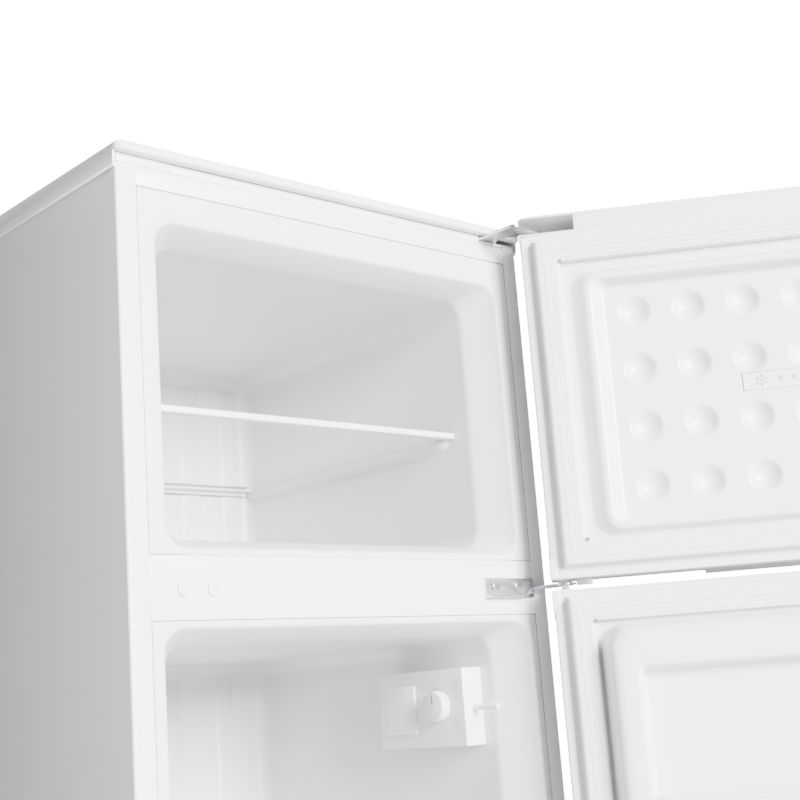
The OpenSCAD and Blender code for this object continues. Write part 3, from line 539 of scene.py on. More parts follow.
WHITE = (0.705, 0.705, 0.710)
PAINT = coated_sheet("white_door_paint", WHITE, (0.695, 0.695, 0.705), (0.30, 0.36))
SIDE_PAINT = coated_sheet(
    "side_sheet_paint", (0.695, 0.697, 0.705), (0.675, 0.678, 0.687), (0.38, 0.46),
    peel=420, strength=0.45, lines=(420, 420, 7),
)
RAIL_PAINT = coated_sheet("rail_paint", WHITE, (0.690, 0.691, 0.695), (0.30, 0.38), peel=300)
CAP_PLASTIC = moulding("white_cap_moulding", (0.705, 0.705, 0.710), (0.685, 0.687, 0.695), (0.30, 0.40))
COVER_PLASTIC = moulding("top_cover_moulding", (0.705, 0.705, 0.708), (0.690, 0.690, 0.695), (0.34, 0.44))
# Greyer than the door's formed sheet of the same white plastic: this darkening is painted shade for the
# rooms.
LINER_SHEET = moulding(
    "formed_liner_sheet", (0.625, 0.628, 0.638), (0.615, 0.618, 0.628), (0.34, 0.42),
    grain=60, strength=0.02,
)
DOOR_SHEET = moulding(
    "formed_door_sheet", (0.705, 0.708, 0.713), (0.695, 0.698, 0.705), (0.26, 0.34), grain=60, strength=0.02,
)
# Near-black colour of the seam strips: painted shade in the gaps between the front's parts.
SEAM_SHADE = moulding("seam_shade", (0.13, 0.13, 0.135), (0.10, 0.10, 0.105), (0.6, 0.7))
SEAL = moulding("white_seal_vinyl", (0.695, 0.698, 0.705), (0.675, 0.678, 0.685), (0.46, 0.56), grain=500)
# Dark colour that stands in for the shade inside small holes: painted shade.
PAINTED_HOLE_SHADE = moulding("seal_hole_shade", (0.20, 0.20, 0.21), (0.16, 0.16, 0.17), (0.6, 0.7))
KNOB_PLASTIC = moulding("knob_moulding", (0.66, 0.67, 0.685), (0.64, 0.65, 0.665), (0.30, 0.38))
BUSH_PLASTIC = moulding("bush_moulding", (0.72, 0.72, 0.71), (0.70, 0.70, 0.69), (0.34, 0.42))
BLACK_PLASTIC = moulding("black_moulding", (0.035, 0.035, 0.038), (0.05, 0.05, 0.053), (0.42, 0.55))
BLACK_RUBBER = moulding("black_rubber", (0.022, 0.022, 0.022), (0.035, 0.034, 0.033), (0.7, 0.85), grain=700)
TRAY_PLASTIC = moulding("tray_moulding", (0.72, 0.73, 0.74), (0.68, 0.69, 0.70), (0.35, 0.45))
FOAM = moulding("rigid_foam", (0.72, 0.62, 0.36), (0.62, 0.52, 0.28), (0.8, 0.95), grain=260, strength=0.8)
ZINC = metal("zinc_plate", (0.62, 0.63, 0.65), (0.57, 0.58, 0.605), (0.24, 0.32), (40, 300, 300), 0.05)
SCREW = metal("screw_zinc", (0.56, 0.57, 0.59), (0.50, 0.51, 0.54), (0.20, 0.30), even(300), 0.05)
BACK_SHEET = metal(
    "galvanised_sheet", (0.60, 0.612, 0.625), (0.54, 0.552, 0.568), (0.36, 0.50), even(90), 0.06,
)
TRAY_STEEL = metal("base_steel", (0.55, 0.56, 0.58), (0.47, 0.48, 0.50), (0.34, 0.5), (30, 300, 300))
BLACK_STEEL = coated_sheet("compressor_enamel", (0.02, 0.02, 0.022), (0.03, 0.03, 0.032), (0.28, 0.42), 120)
COPPER = metal("copper_tube", (0.80, 0.42, 0.27), (0.62, 0.30, 0.20), (0.22, 0.42), even(160))
ALUMINIUM = metal("aluminium_plate", (0.78, 0.79, 0.80), (0.72, 0.73, 0.75), (0.28, 0.4), (400, 40, 40))
GLASS = clear_sheet("shelf_glass", (0.80, 0.86, 0.85), 0.14, 0.015)
CLEAR = clear_sheet("clear_bin_plastic", (0.80, 0.85, 0.88), 0.26, 0.07, 1.49)
LENS = clear_sheet("lamp_lens_plastic", (0.84, 0.84, 0.84), 0.8, 0.35, 1.49)


# ---- Cabinet ----

def side_points(ring, stops):
    """Adds points to an outline where its two long sides pass the stops."""
    fuller = []
    for i, (x, y, z) in enumerate(ring):
        fuller.append((x, y, z))
        next_x, next_y, _ = ring[(i + 1) % len(ring)]
        if abs(next_x - x) < 0.01 and abs(next_y - y) > 100:
            for stop in stops if next_y > y else reversed(stops):
                fuller.append((x, stop, z))
    return fuller


COVER_CORNER = 9.2
SKIRT_STOPS = (-0.6, -0.4, 0.1, 1.2, COVER_HIGH.y - 17)


def cover_ring(inset, z_nose, z_side, corner):
    """One level of the cover's outline. It hangs lower along the sides than at the nose."""
    ring = outline(
        COVER_LOW.x + inset, COVER_HIGH.x - inset, COVER_LOW.y + inset, COVER_HIGH.y - inset,
        corner, 10, "z", z_nose,
    )
    return hung(side_points(ring, SKIRT_STOPS), z_nose, z_side)


def hung(ring, z_nose, z_side):
    """Drops the part of an outline that forms the skirts."""
    shares = dict(zip(SKIRT_STOPS, (0.0, 0.55, 0.85, 1.0, 1.0)))
    low = []
    for x, y, _ in ring:
        share = shares.get(y, 0.0) if abs(x) > HALF_W - 4 else 0.0
        low.append((x, y, z_nose + (z_side - z_nose) * share))
    return low


def top_cover():
    """Moulded lid with a rounded nose in front and skirts down both sides."""
    nose_z = COVER_HIGH.z - 10.8
    side_z = COVER_LOW.z
    top = COVER_HIGH.z
    shape = Shape()
    rings = []
    half = HALF_W + 0.3
    inner = outline(-half, half, -0.7, COVER_HIGH.y - 4, 0.05, 10, "z", nose_z)
    inner = side_points(inner, SKIRT_STOPS)
    rings.append([(x, y, top - 3) for x, y, _ in inner])
    rings.append(hung(inner, nose_z, side_z))
    for inset, lift in ((2.1, 0.0), (1.0, 0.5), (0.3, 1.6), (0.0, 3.2)):
        rings.append(cover_ring(inset, nose_z + lift * 0.8, side_z + lift, COVER_CORNER - inset))
    for inset, drop in ((0, 7.0), (0.15, 4.2), (0.7, 2.6), (1.7, 1.3), (3.2, 0.45), (5.5, 0.08), (9, 0)):
        level = cover_ring(inset, 0, 0, COVER_CORNER - inset * 0.8)
        rings.append([(x, y, top - drop) for x, y, _ in level])
    shape.loft(rings)
    finished("top_cover_shell", shape, "cabinet", COVER_PLASTIC, ("top_cover",), angle=50)


def room_rings(frame_box, mouth, room):
    """The liner's front frame, rounded lip, sloping mouth, straight walls and back corner."""
    half, low, high = frame_box
    rings = []
    for inset, y in ((0.55, 1.9), (0.55, 0.7), (0.75, 0.25), (1.1, 0.06), (1.6, 0.0)):
        rings.append(outline(inset - half, half - inset, low + inset, high - inset, 0.6 + inset, 8, "y", y))
    lip = 6.5
    h, z0, z1 = mouth
    for step in range(6):
        a = math.radians(75 * step / 5)
        grow = lip * (1 - math.sin(a))
        y = lip * 0.62 * (1 - math.cos(a))
        rings.append(outline(-h - grow, h + grow, z0 - grow, z1 + grow, MOUTH_RADIUS + grow, 8, "y", y))
    rh, r0, r1 = room
    for share, y in ((0.92, MOUTH_DEPTH - 5), (0.98, MOUTH_DEPTH - 1.2), (1.0, MOUTH_DEPTH + 3)):
        side = h + (rh - h) * share
        floor = z0 + (r0 - z0) * share
        roof = z1 + (r1 - z1) * share
        rings.append(outline(-side, side, floor, roof, MOUTH_RADIUS, 8, "y", y))
    for step in range(6):
        a = math.radians(90 * step / 5)
        inset = BACK_RADIUS * (1 - math.cos(a))
        y = CAVITY_BACK - BACK_RADIUS + BACK_RADIUS * math.sin(a)
        corner = max(MOUTH_RADIUS - inset, 4)
        rings.append(outline(inset - rh, rh - inset, r0 + inset, r1 - inset, corner, 8, "y", y))
    return rings


def ledge(shape, side, wall, y0, z):
    """A shelf ledge with a rounded nose that runs out into the wall at its front end."""
    y1 = CAVITY_BACK - 8
    rings = []
    for y, size in ((y0, 0.05), (y0 + 3, 0.55), (y0 + 8, 0.85), (y0 + 16, 1.0), (y1, 1.0)):
        nose = 9 * size
        drop = 12 * size
        profile = (
            (-1.5, -drop - 2), (2, -drop), (nose * 0.75, -drop * 0.72), (nose, -drop * 0.35),
            (nose, -drop * 0.1), (nose - 0.8, 0), (2, 0), (-1.5, 0),
        )
        rings.append([(side * (wall - x), y, z + dz) for x, dz in profile])
    shape.loft(rings)


def pilasters(shape, bands, z0, z1):
    """Flat upright ribs pressed into the back wall, with rounded flanks."""
    for side in (-1, 1):
        for x0, x1 in bands:
            rings = []
            for z, size in ((z0, 0.0), (z0 + 6, 1.0), (z1 - 6, 1.0), (z1, 0.0)):
                height = 2.2 * size
                left = [(-3, 0.5), (-1, -0.15 * height), (0.8, -0.8 * height), (2.5, -height)]
                flank = [(x0 + x, y) for x, y in left] + [(x1 - x, y) for x, y in reversed(left)]
                rings.append([(side * x, CAVITY_BACK + y, z) for x, y in flank])
            shape.loft(rings)


def room_sheet(node, mouth, room):
    """The formed sheet of one room, with its front frame."""
    low, high = reach(node)
    shape = Shape()
    shape.loft(room_rings((high.x, low.z, high.z), mouth, room), (False, True))
    thickened(
        node + "_sheet", shape, SHEET_WALL, (0, -1, 0), "cabinet", LINER_SHEET, (node,),
        angle=60,
    )


def freezer_liner():
    """The freezer's room with its shelf ledges and back ribs."""
    room_sheet("freezer_liner", FREEZER_MOUTH, FREEZER_ROOM)
    ribs = Shape()
    for side in (-1, 1):
        ledge(ribs, side, FREEZER_ROOM[0], 74, SHELF_Z - 4.5)
    pilasters(ribs, ((101, 130), (166, 190)), FREEZER_ROOM[1] + 16, FREEZER_ROOM[2] - 16)
    finished("freezer_liner_ribs", ribs, "cabinet", LINER_SHEET, angle=60)


def fridge_liner():
    """The fridge's room, and the raised floor behind over the machine."""
    room_sheet("fridge_liner", FRIDGE_MOUTH, FRIDGE_ROOM)
    ribs = Shape()
    for name in ("fridge_shelf_upper", "fridge_shelf_lower"):
        for side in (-1, 1):
            ledge(ribs, side, FRIDGE_ROOM[0], 120, reach(name)[0].z - 0.4)
    pilasters(ribs, ((60, 84), (140, 164)), HUMP_Z + 4, FRIDGE_ROOM[2] - 16)
    half = FRIDGE_ROOM[0] + 0.8
    rings = []
    for x in (-half, half):
        ring = [(x, CAVITY_BACK + 0.5, FRIDGE_ROOM[1] - 0.5), (x, HUMP_Y - 1.5, FRIDGE_ROOM[1] - 0.5)]
        for step in range(7):
            a = math.radians(90 * step / 6)
            ring.append((x, HUMP_Y - 1.5 + 14 * (1 - math.cos(a)), HUMP_Z + 1.5 - 14 * (1 - math.sin(a))))
        ring.append((x, CAVITY_BACK + 0.5, HUMP_Z + 1.5))
        rings.append(ring)
    ribs.loft(rings)
    finished("fridge_liner_ribs", ribs, "cabinet", LINER_SHEET, angle=60)


def front_rails():
    """Side panels, the rails between them and the small covers in front."""
    for side in ("left", "right"):
        softened("side_panel_" + side, SIDE_PAINT, 0.3)
    for place, edge in (("top", 0.45), ("mid", 0.5), ("bottom", 0.6)):
        softened(place + "_rail", RAIL_PAINT, edge)
    for node in ("front_strip", "hinge_hole_cover", "hole_plugs"):
        softened(node, CAP_PLASTIC, 0.5)


def seams():
    """Dark strips set into the seams where the front's parts meet: painted shade, so the gaps show as thin
    dark lines.
    """
    frame_half = FREEZER_HIGH.x + 0.1
    shape = Shape()
    wide = 0.5
    y0, y1 = 0.12, 1.2
    for side in (-1, 1):
        x = side * (frame_half - 0.2)
        shape.add_box((x - wide, y0, FRIDGE_LOW.z), (x + wide, y1, SEAM_Z - 0.2))
    levels = [SEAM_Z - 0.05]
    for low, high in ((FREEZER_LOW, FREEZER_HIGH), (FRIDGE_LOW, FRIDGE_HIGH)):
        levels += [high.z + 0.05, low.z - 0.05]
    for z in levels:
        half = HALF_W - 2.5 if z > FREEZER_HIGH.z + 1 else frame_half
        shape.add_box((-half, y0, z - wide), (half, y1, z + wide))
    x = reach("hinge_hole_cover")[1].x + 0.2
    shape.add_box((x - wide, y0, SEAM_Z + 0.4), (x + wide, y1, SEAM_Z + 8.5))
    finished("front_seam_painted_shade", shape, "cabinet", SEAM_SHADE)


# ---- Doors ----

def gasket_side(shape, start, end, inward):
    """One straight run of seal, cut to a mitre at both ends."""
    along = [b - a for a, b in zip(start, end)]
    length = math.hypot(*along)
    unit = [c / length for c in along]
    gap = 0.12
    rings = []
    for end_point, sign in ((start, 1), (end, -1)):
        ring = []
        for inset, height in GASKET_PROFILE:
            slide = sign * (inset + gap)
            x = end_point[0] + unit[0] * slide + inward[0] * inset
            z = end_point[1] + unit[1] * slide + inward[1] * inset
            ring.append((x, DOOR_IN + height, z))
        rings.append(ring)
    shape.loft(rings)


GASKET_PROFILE = [
    (0.3, 0.2), (0.0, 1.4), (0.5, 2.6), (1.6, 3.0), (2.2, 3.4), (2.4, 8.8), (2.9, 10.4), (4.2, 11.35),
    (5.6, 11.6), (9.6, 11.6), (9.9, 11.0), (10.4, 11.0), (10.7, 11.6), (15.4, 11.6), (15.8, 11.3),
    (16.1, 10.4), (16.7, 10.4), (17.1, 10.9), (21.0, 10.8), (21.3, 10.2), (21.8, 10.2), (22.1, 10.7),
    (25.0, 10.5), (25.4, 9.9), (26.0, 9.7), (28.0, 9.3), (28.7, 8.4), (29.0, 6.8), (29.0, 3.0),
    (28.8, 1.2), (28.6, 0.2),
]


def gasket(body):
    """Four mitred runs of ridged magnetic seal, with a dark cup in each corner whose colour is the painted
    shade of a vent hole.
    """
    node = body + "_gasket"
    low, high = (corner.z for corner in reach(node))
    shape = Shape()
    x = GASKET_OUT
    corners = [(-x, low), (x, low), (x, high), (-x, high)]
    inwards = [(0, 1), (-1, 0), (0, -1), (1, 0)]
    for i in range(4):
        gasket_side(shape, corners[i], corners[(i + 1) % 4], inwards[i])
    finished(node + "_seal", shape, body, SEAL, (node,), door=True, angle=28)
    # Dark cups at the seal's inner corners: the shade inside each vent hole is painted into their colour.
    vent_shade = Shape()
    inner = x - GASKET_WIDTH
    profile = [(0.0, 4.0), (2.4, 4.0), (2.4, 10.4), (2.1, 10.7), (1.6, 10.2), (0.0, 10.0)]
    for sx in (-1, 1):
        for z in (low + GASKET_WIDTH, high - GASKET_WIDTH):
            vent_shade.lathe(profile, (sx * inner, DOOR_IN, z), "Y", 20)
    finished(node + "_vents", vent_shade, body, PAINTED_HOLE_SHADE, door=True)


def sheet_rings(steps, edge):
    """Rings of a formed door sheet, from its flat edge inwards."""
    x, z0, z1 = edge
    rings = [outline(-x, x, z0, z1, 0.4, 10, "y", DOOR_IN - 0.1)]
    for half, low, high, corner, y in steps:
        rings.append(outline(-half, half, low, high, corner, 10, "y", y))
    return rings


def door_panel(body, shape):
    """The formed sheet inside one door."""
    thickened(
        body + "_panel", shape, SHEET_WALL, (0, 1, 0), body, DOOR_SHEET,
        (body + "_liner",), door=True, angle=60,
    )


FREEZER_PANEL = (FREEZER_ROOM[1] - 3, FREEZER_ROOM[2] + 9)
FIELD_Y = DOOR_IN - 3.6


DIMPLE_Z = SEAM_Z - 205.5
DIMPLE_STEP = (60.5, 66.3)
DIMPLE_RADIUS = 18.2
DIMPLE_DEPTH = 8.0


def dimple_drop(x, z):
    """How far a point of the sunk field is pressed in by the nearest dimple."""
    step_x, step_z = DIMPLE_STEP
    column = min(max(round(x / step_x + 2.5), 0), 5)
    row = min(max(round((z - DIMPLE_Z) / step_z + 1.5), 0), 3)
    gap = math.hypot(x - (column - 2.5) * step_x, z - DIMPLE_Z - (row - 1.5) * step_z)
    share = gap / DIMPLE_RADIUS
    if share >= 1:
        return 0.0
    return DIMPLE_DEPTH * (1 - share * share) ** 1.12


def freezer_door_sheet():
    """Inner panel of the freezer door: a raised ridge round a sunk field with dimples."""
    z0, z1 = FREEZER_PANEL
    crest = DOOR_IN + 12.1
    steps = [
        (221.5, z0 - 2, z1 + 2, 24, DOOR_IN), (219.8, z0 - 0.6, z1 + 0.6, 23, DOOR_IN + 0.3),
        (218.2, z0 + 0.2, z1 - 0.2, 22, DOOR_IN + 1.1), (206.8, z0 + 3.6, z1 - 4.4, 18, crest - 2.0),
        (204.6, z0 + 4.6, z1 - 5.6, 17, crest - 0.7), (202.4, z0 + 6.0, z1 - 7.0, 16, crest - 0.1),
        (199.4, z0 + 9.6, z1 - 10.6, 14, crest), (197.0, z0 + 12.0, z1 - 13.2, 13, crest - 0.8),
        (195.2, z0 + 12.8, z1 - 14.1, 12, crest - 2.3), (187.0, z0 + 14.6, z1 - 16.0, 11, FIELD_Y + 1.8),
        (185.0, z0 + 15.4, z1 - 16.8, 10, FIELD_Y + 0.4), (182.6, z0 + 16.8, z1 - 18.2, 9, FIELD_Y),
    ]
    shape = Shape()
    edge = (SKIN_HALF - 9.2, FREEZER_DOOR[0] + 2.7, NOTCH_Z - 2.2)
    rings = sheet_rings(steps, edge)
    low, high = z0 + 19.5, z1 - 20.9
    cells = (200, 138)
    across = [-180 + 1.8 * i for i in range(cells[0] + 1)]
    levels = [low + (high - low) * i / cells[1] for i in range(cells[1] + 1)]
    border = [(x, low) for x in across] + [(across[-1], z) for z in levels[1:]]
    border += [(x, high) for x in reversed(across[:-1])]
    border += [(across[0], z) for z in reversed(levels[1:-1])]
    shape.loft(rings, (False, False))
    shape.net([(x, FIELD_Y - dimple_drop(x, z), z) for z in levels for x in across], len(across))
    shape.bridge(rings[-1], [(x, FIELD_Y, z) for x, z in border])
    door_panel("freezer_door", shape)
    band = Shape()
    right = NOTCH_X - 2.2
    top = FREEZER_DOOR[1]
    band.block((9.2 - SKIN_HALF, DOOR_IN - 2.2, NOTCH_Z - 2.6), (right, DOOR_IN - 0.1, top - 2.6), 0.4)
    band.block((3 - SKIN_HALF, DOOR_IN - 1.6, top - 9), (right, DOOR_IN + 0.2, top - 5.4), 0.6)
    finished("freezer_door_top_band", band, "freezer_door", DOOR_SHEET, door=True)


def bar(shape, x, z, length, angle, width):
    """A small raised bar on the field, turned about its middle."""
    c, s = math.cos(angle), math.sin(angle)
    top = FIELD_Y + 1.3
    rings = []
    for y, inset in ((FIELD_Y - 0.4, 0.0), (top - 0.25, 0.0), (top, 0.25)):
        ring = []
        for u, v in ((-1, -1), (1, -1), (1, 1), (-1, 1)):
            a = u * (length / 2 - inset)
            b = v * (width / 2 - inset)
            ring.append((x + a * c - b * s, y, z + a * s + b * c))
        rings.append(ring)
    shape.loft(rings)


def frost_mark():
    """A plain raised frame with a snow crystal and three small lozenges."""
    shape = Shape()
    z = SEAM_Z - 199
    half_x, half_z = 41, 10
    for dz in (-half_z, half_z):
        bar(shape, 0, z + dz, 2 * half_x + 1.2, 0, 1.2)
    for dx in (-half_x, half_x):
        bar(shape, dx, z, 2 * half_z + 1.2, math.pi / 2, 1.2)
    for i in range(3):
        bar(shape, 20, z, 14, math.pi * i / 3 + math.pi / 6, 1.5)
    for i in range(6):
        a = math.pi * i / 3 + math.pi / 6
        for side in (-1, 1):
            x = 20 + 4.8 * math.cos(a)
            bar(shape, x, z + 4.8 * math.sin(a), 3.6, a + side * 0.9, 1.1)
    for i in range(3):
        for turn in (-1, 1):
            bar(shape, -1 - 14 * i, z, 7, turn * math.pi / 4, 1.5)
    finished("freezer_door_frost_mark", shape, "freezer_door", DOOR_SHEET, door=True)


FRIDGE_PANEL = (FRIDGE_ROOM[1] + 8, FRIDGE_ROOM[2] - 0.5)
FRIDGE_FIELD_Y = 2


def fridge_door_sheet():
    """Inner panel of the fridge door: a deep raised frame with a set-back field for the bins."""
    z0, z1 = FRIDGE_PANEL
    crest = DOOR_IN + 36
    steps = [
        (229.5, z0 - 5, z1 + 3, 28, DOOR_IN), (227.5, z0 - 3, z1 + 1.2, 27, DOOR_IN + 0.5),
        (226.0, z0 - 1.5, z1 + 0.2, 26, DOOR_IN + 2.0), (219.5, z0 + 3, z1 - 4.4, 24, crest - 12),
        (217.0, z0 + 5.5, z1 - 7.0, 23, crest - 6), (213.6, z0 + 9, z1 - 10.5, 22, crest - 2.4),
        (209.2, z0 + 13.5, z1 - 15.0, 20, crest - 0.6), (204.0, z0 + 18.5, z1 - 20.0, 18, crest),
        (191.5, z0 + 24.5, z1 - 44.0, 9, crest), (189.4, z0 + 26.4, z1 - 46.2, 8, crest - 0.5),
        (188.0, z0 + 27.6, z1 - 47.6, 8, crest - 1.8),
        (185.6, z0 + 30.6, z1 - 51.0, 9, FRIDGE_FIELD_Y + 2.5),
        (184.0, z0 + 32.4, z1 - 53.0, 9, FRIDGE_FIELD_Y + 0.6),
        (181.0, z0 + 35.6, z1 - 56.0, 8, FRIDGE_FIELD_Y),
    ]
    shape = Shape()
    edge = (SKIN_HALF - 9.2, FRIDGE_DOOR[0] + 2.7, FRIDGE_DOOR[1] - 2.7)
    shape.loft(sheet_rings(steps, edge), (False, True))
    door_panel("fridge_door", shape)


def door_caps():
    """End caps and painted skins of both doors, and the ears at their hinge side."""
    for body in ("freezer_door", "fridge_door"):
        for end in ("top", "bottom"):
            softened(body + "_" + end + "_cap", CAP_PLASTIC, 0.35)
    for body in ("freezer_door", "fridge_door"):
        softened(body + "_skin", PAINT, 0.3)
    ear_height = 23
    corners = {
        "freezer_door": (FREEZER_DOOR[0],),
        "fridge_door": (FRIDGE_DOOR[0], FRIDGE_DOOR[1] - ear_height),
    }
    for body, places in corners.items():
        ears = Shape()
        dots = Shape()
        for z in places:
            low = (HALF_W - 8.5, -30, z + 0.3)
            ears.block(low, (HALF_W + 0.6, DOOR_IN + 0.9, z + ear_height - 0.3), 1.6)
            middle = (HALF_W + 0.3, -20, z + ear_height / 2)
            # Each dot is a small dark disc in the painted hole-shade colour.
            dots.lathe([(0, 0), (0.9, 0), (0.9, 0.4), (0, 0.4)], middle, "X", 12)
        finished(body + "_cap_ears", ears, body, CAP_PLASTIC, door=True)
        finished(body + "_cap_dots", dots, body, PAINTED_HOLE_SHADE, door=True)
    for body in ("freezer_door", "fridge_door"):
        softened(body + "_bushes", BUSH_PLASTIC, 0.3)
    for body in ("freezer_door", "fridge_door"):
        softened(body + "_stop", ZINC, 0.3)


# ---- Hinges ----

def hinges():
    """The three hinges with their screws, and what fills the top plate's bed."""
    for place, edge in (("top", 0.55), ("mid", 0.6), ("bottom", 0.5)):
        softened(place + "_hinge", ZINC, edge)
    softened("hinge_screws", SCREW, 0.6)
    packing = Shape()
    packing.block((PIN_X - 44.3, 0.4, SEAM_Z + 0.15), (HALF_W - 2.5, 30, SEAM_Z + 3.8), 0.5)
    finished("top_hinge_packing", packing, "cabinet", CAP_PLASTIC)
    tab = Shape()
    tab.block((PIN_X - 8, -1.5, SEAM_Z - 4.5), (PIN_X + 9.5, -0.1, SEAM_Z + 3.4), 0.4)
    finished("top_hinge_tab", tab, "cabinet", CAP_PLASTIC)


# ---- Shelves, drawer and bins ----

def shelves():
    """Glass shelves with their moulded trims."""
    for node in ("freezer_shelf_glass", "fridge_shelf_upper", "fridge_shelf_lower", "crisper_cover"):
        softened(node, GLASS, 0.5)
    for node in ("freezer_shelf_front_trim", "fridge_shelf_upper_trim", "fridge_shelf_lower_trim"):
        softened(node, CAP_PLASTIC, 0.4)
    softened("freezer_shelf_rear_trim", CAP_PLASTIC, 0.4)


TUB_WALL = 2.2
TUB_CORNER = 14


def tub(shape, x, y, z, draft, rim):
    """An open moulded box with drafted walls, a rounded floor edge and a rolled rim."""
    (x0, x1), (y0, y1), (z0, z1) = x, y, z
    outer = []
    for dz, inset in ((0, draft + 3.0), (0.9, draft + 1.0), (3.0, draft)):
        outer.append((z0 + dz, inset))
    outer += [(z1 - 6, rim), (z1 - 5, 0.3), (z1 - 3.8, 0), (z1 - 0.9, 0), (z1, 0.8)]
    floor, foot, lip = z0 + TUB_WALL, draft + TUB_WALL, rim + TUB_WALL
    inner = [(z1, 1.9), (z1 - 0.8, lip), (z1 - 6, lip)]
    inner += [(z0 + 5, foot), (floor + 0.9, foot + 1.2), (floor, foot + 3.4)]
    rings = []
    for level, inset in outer + inner:
        r = max(TUB_CORNER - inset, 1.5)
        rings.append(outline(x0 + inset, x1 - inset, y0 + inset, y1 - inset, r, 6, "z", level))
    shape.loft(rings)


def drawer():
    """Clear crisper drawer with a white pull."""
    low, high = reach("crisper_drawer")
    shape = Shape()
    tub(shape, (low.x, high.x), (low.y, high.y), (low.z, high.z), 4, 1.2)
    finished("crisper_drawer_tub", shape, "crisper", CLEAR, ("crisper_drawer",), angle=50)
    pull = Shape()
    y = low.y
    pull.block((-70, y + 0.1, high.z - 30), (70, y + 5.4, high.z - 6.5), 1.2)
    finished("crisper_drawer_pull", pull, "crisper", CAP_PLASTIC)


def bins():
    """Door bins with a rolled rim and a stiffening bead along the front."""
    names = {"bottle_bin": "bottle_bin", "door_bin_middle": "middle_bin", "door_bin_upper": "upper_bin"}
    for node, body in names.items():
        low, high = reach(node)
        shape = Shape()
        tub(shape, (-BIN_HALF, BIN_HALF), (4, 78), (low.z, high.z), 3, 1.0)
        for share in (0.35, 0.55):
            level = low.z + (high.z - low.z) * share
            shape.block((-BIN_HALF + 20, 74.5, level), (BIN_HALF - 20, 77.9, level + 2.4), 1.0)
        finished(node + "_tub", shape, body, CLEAR, (node,), door=True, angle=50)


def bin_lugs():
    """Hooks on the door panel's flanks that the bins sit on."""
    pattern = Shape()
    pattern.block((-4, -17, -5), (4, 17, 0), 1.5)
    floors = [reach(n)[0].z for n in ("bottle_bin", "door_bin_middle", "door_bin_upper")]
    step = (floors[2] - floors[0]) / 2
    start = (-BIN_HALF - 1, 5, floors[0] - 0.4)
    repeated(
        "fridge_door_bin_lugs", pattern, start, 2, (2 * BIN_HALF + 2, 0, 0), 3, (0, 0, step),
        "fridge_door", DOOR_SHEET, door=True,
    )


# ---- Thermostat ----

def thermostat():
    """Thermostat box with the lamp's lens, the door switch and a knob with a grip of fine flutes."""
    softened("thermostat_housing", CAP_PLASTIC, 0.5)
    softened("lamp_lens", LENS, 0.5)
    softened("switch_plunger", CAP_PLASTIC, 0.6)
    low, high = reach("thermostat_knob")
    y, z = (low.y + high.y) / 2, (low.z + high.z) / 2
    front = low.x
    knob = Shape()
    profile = [(0, 0), (14.4, 0), (15.6, 0.5), (16.2, 1.6), (16.9, 12.6), (15.0, 12.6), (4, 12.6)]
    profile += [(4, 23), (0, 23)]
    knob.lathe(profile, (front, y, z), "X", 72)
    knob.block((front, y - 1.2, z + 2), (front + 1.0, y + 1.2, z + 14), 0.4)
    for i in range(24):
        a = 2 * math.pi * i / 24
        knob.lathe(
            [(0, 2), (0.55, 2.2), (0.65, 12), (0, 12.2)],
            (front, y + 16.3 * math.cos(a), z + 16.3 * math.sin(a)), "X", 8,
        )
    finished("thermostat_knob_dial", knob, "knob", KNOB_PLASTIC, ("thermostat_knob",))


# ---- Machine, back and feet ----

CHANNELS = (400, 560, 720, 880, 1040, 1200, 1330)


def back_depth(x, z):
    """How far the back sheet is pressed in: a joggled border and level channels."""
    low, high = reach("back_panel")
    edge = min(high.x - abs(x), z - low.z, high.z - z)
    border = 1.6 * min(max((20 - edge) / 4, 0), 1)
    channel = 0.0
    for level in CHANNELS:
        across = max(0.0, 1 - (abs(z - level) / 9) ** 2)
        along = min(max((212 - abs(x)) / 12, 0), 1)
        channel = max(channel, 1.7 * across * along)
    return max(border, channel)


def back():
    """Galvanised back sheet with pressed channels, and its screws in the joggled border."""
    low, high = reach("back_panel")
    edges = (20, 18.7, 17.3, 16, 8, 0.1)
    xs = [0, 60, 120, 180, 199, 202, 206, 210, 213, 230] + [high.x - edge for edge in edges]
    xs = [-x for x in reversed(xs[1:])] + xs
    zs = [low.z + edge for edge in reversed(edges)]
    for level in CHANNELS:
        zs += [level - 60] + [level + step for step in (-9, -7.5, -5.5, -3, 0, 3, 5.5, 7.5, 9)]
    zs = [z for z in zs if z < high.z - 20]
    zs += [high.z - edge for edge in edges]
    sheet = Shape().net([(x, high.y - 0.02 - back_depth(x, z), z) for z in zs for x in xs], len(xs))
    thickened(
        "back_sheet", sheet, 0.3, (0, 1, 0), "cabinet", BACK_SHEET, ("back_panel",), angle=14,
    )
    head = Shape()
    profile = [(0, -0.6), (4.2, -0.6), (4.2, 0.2), (3.9, 0.9), (2.9, 1.35), (1.1, 1.45)]
    profile += [(0.9, 0.7), (0, 0.7)]
    head.lathe(profile, (0, 0, 0), "Y", 20)
    y = high.y - 1.6
    pitch = (high.z - low.z - 90) / 7
    lines = (
        ("back_sheet_screws", (8 - high.x, y, low.z + 60), 2, 2 * (high.x - 8), 8, pitch),
        ("back_sheet_top_screws", (-180, y, high.z - 8), 5, 90, 1, 1),
        ("back_sheet_low_screws", (-180, y, low.z + 8), 5, 90, 1, 1),
    )
    for name, start, columns, across, rows, up in lines:
        repeated(
            name, head, start, columns, (across, 0, 0), rows, (0, 0, up), "cabinet", SCREW,
        )
    softened("base_tray", TRAY_STEEL, 0.3)
    slimmed("cabinet_foam", FOAM, 2.3)


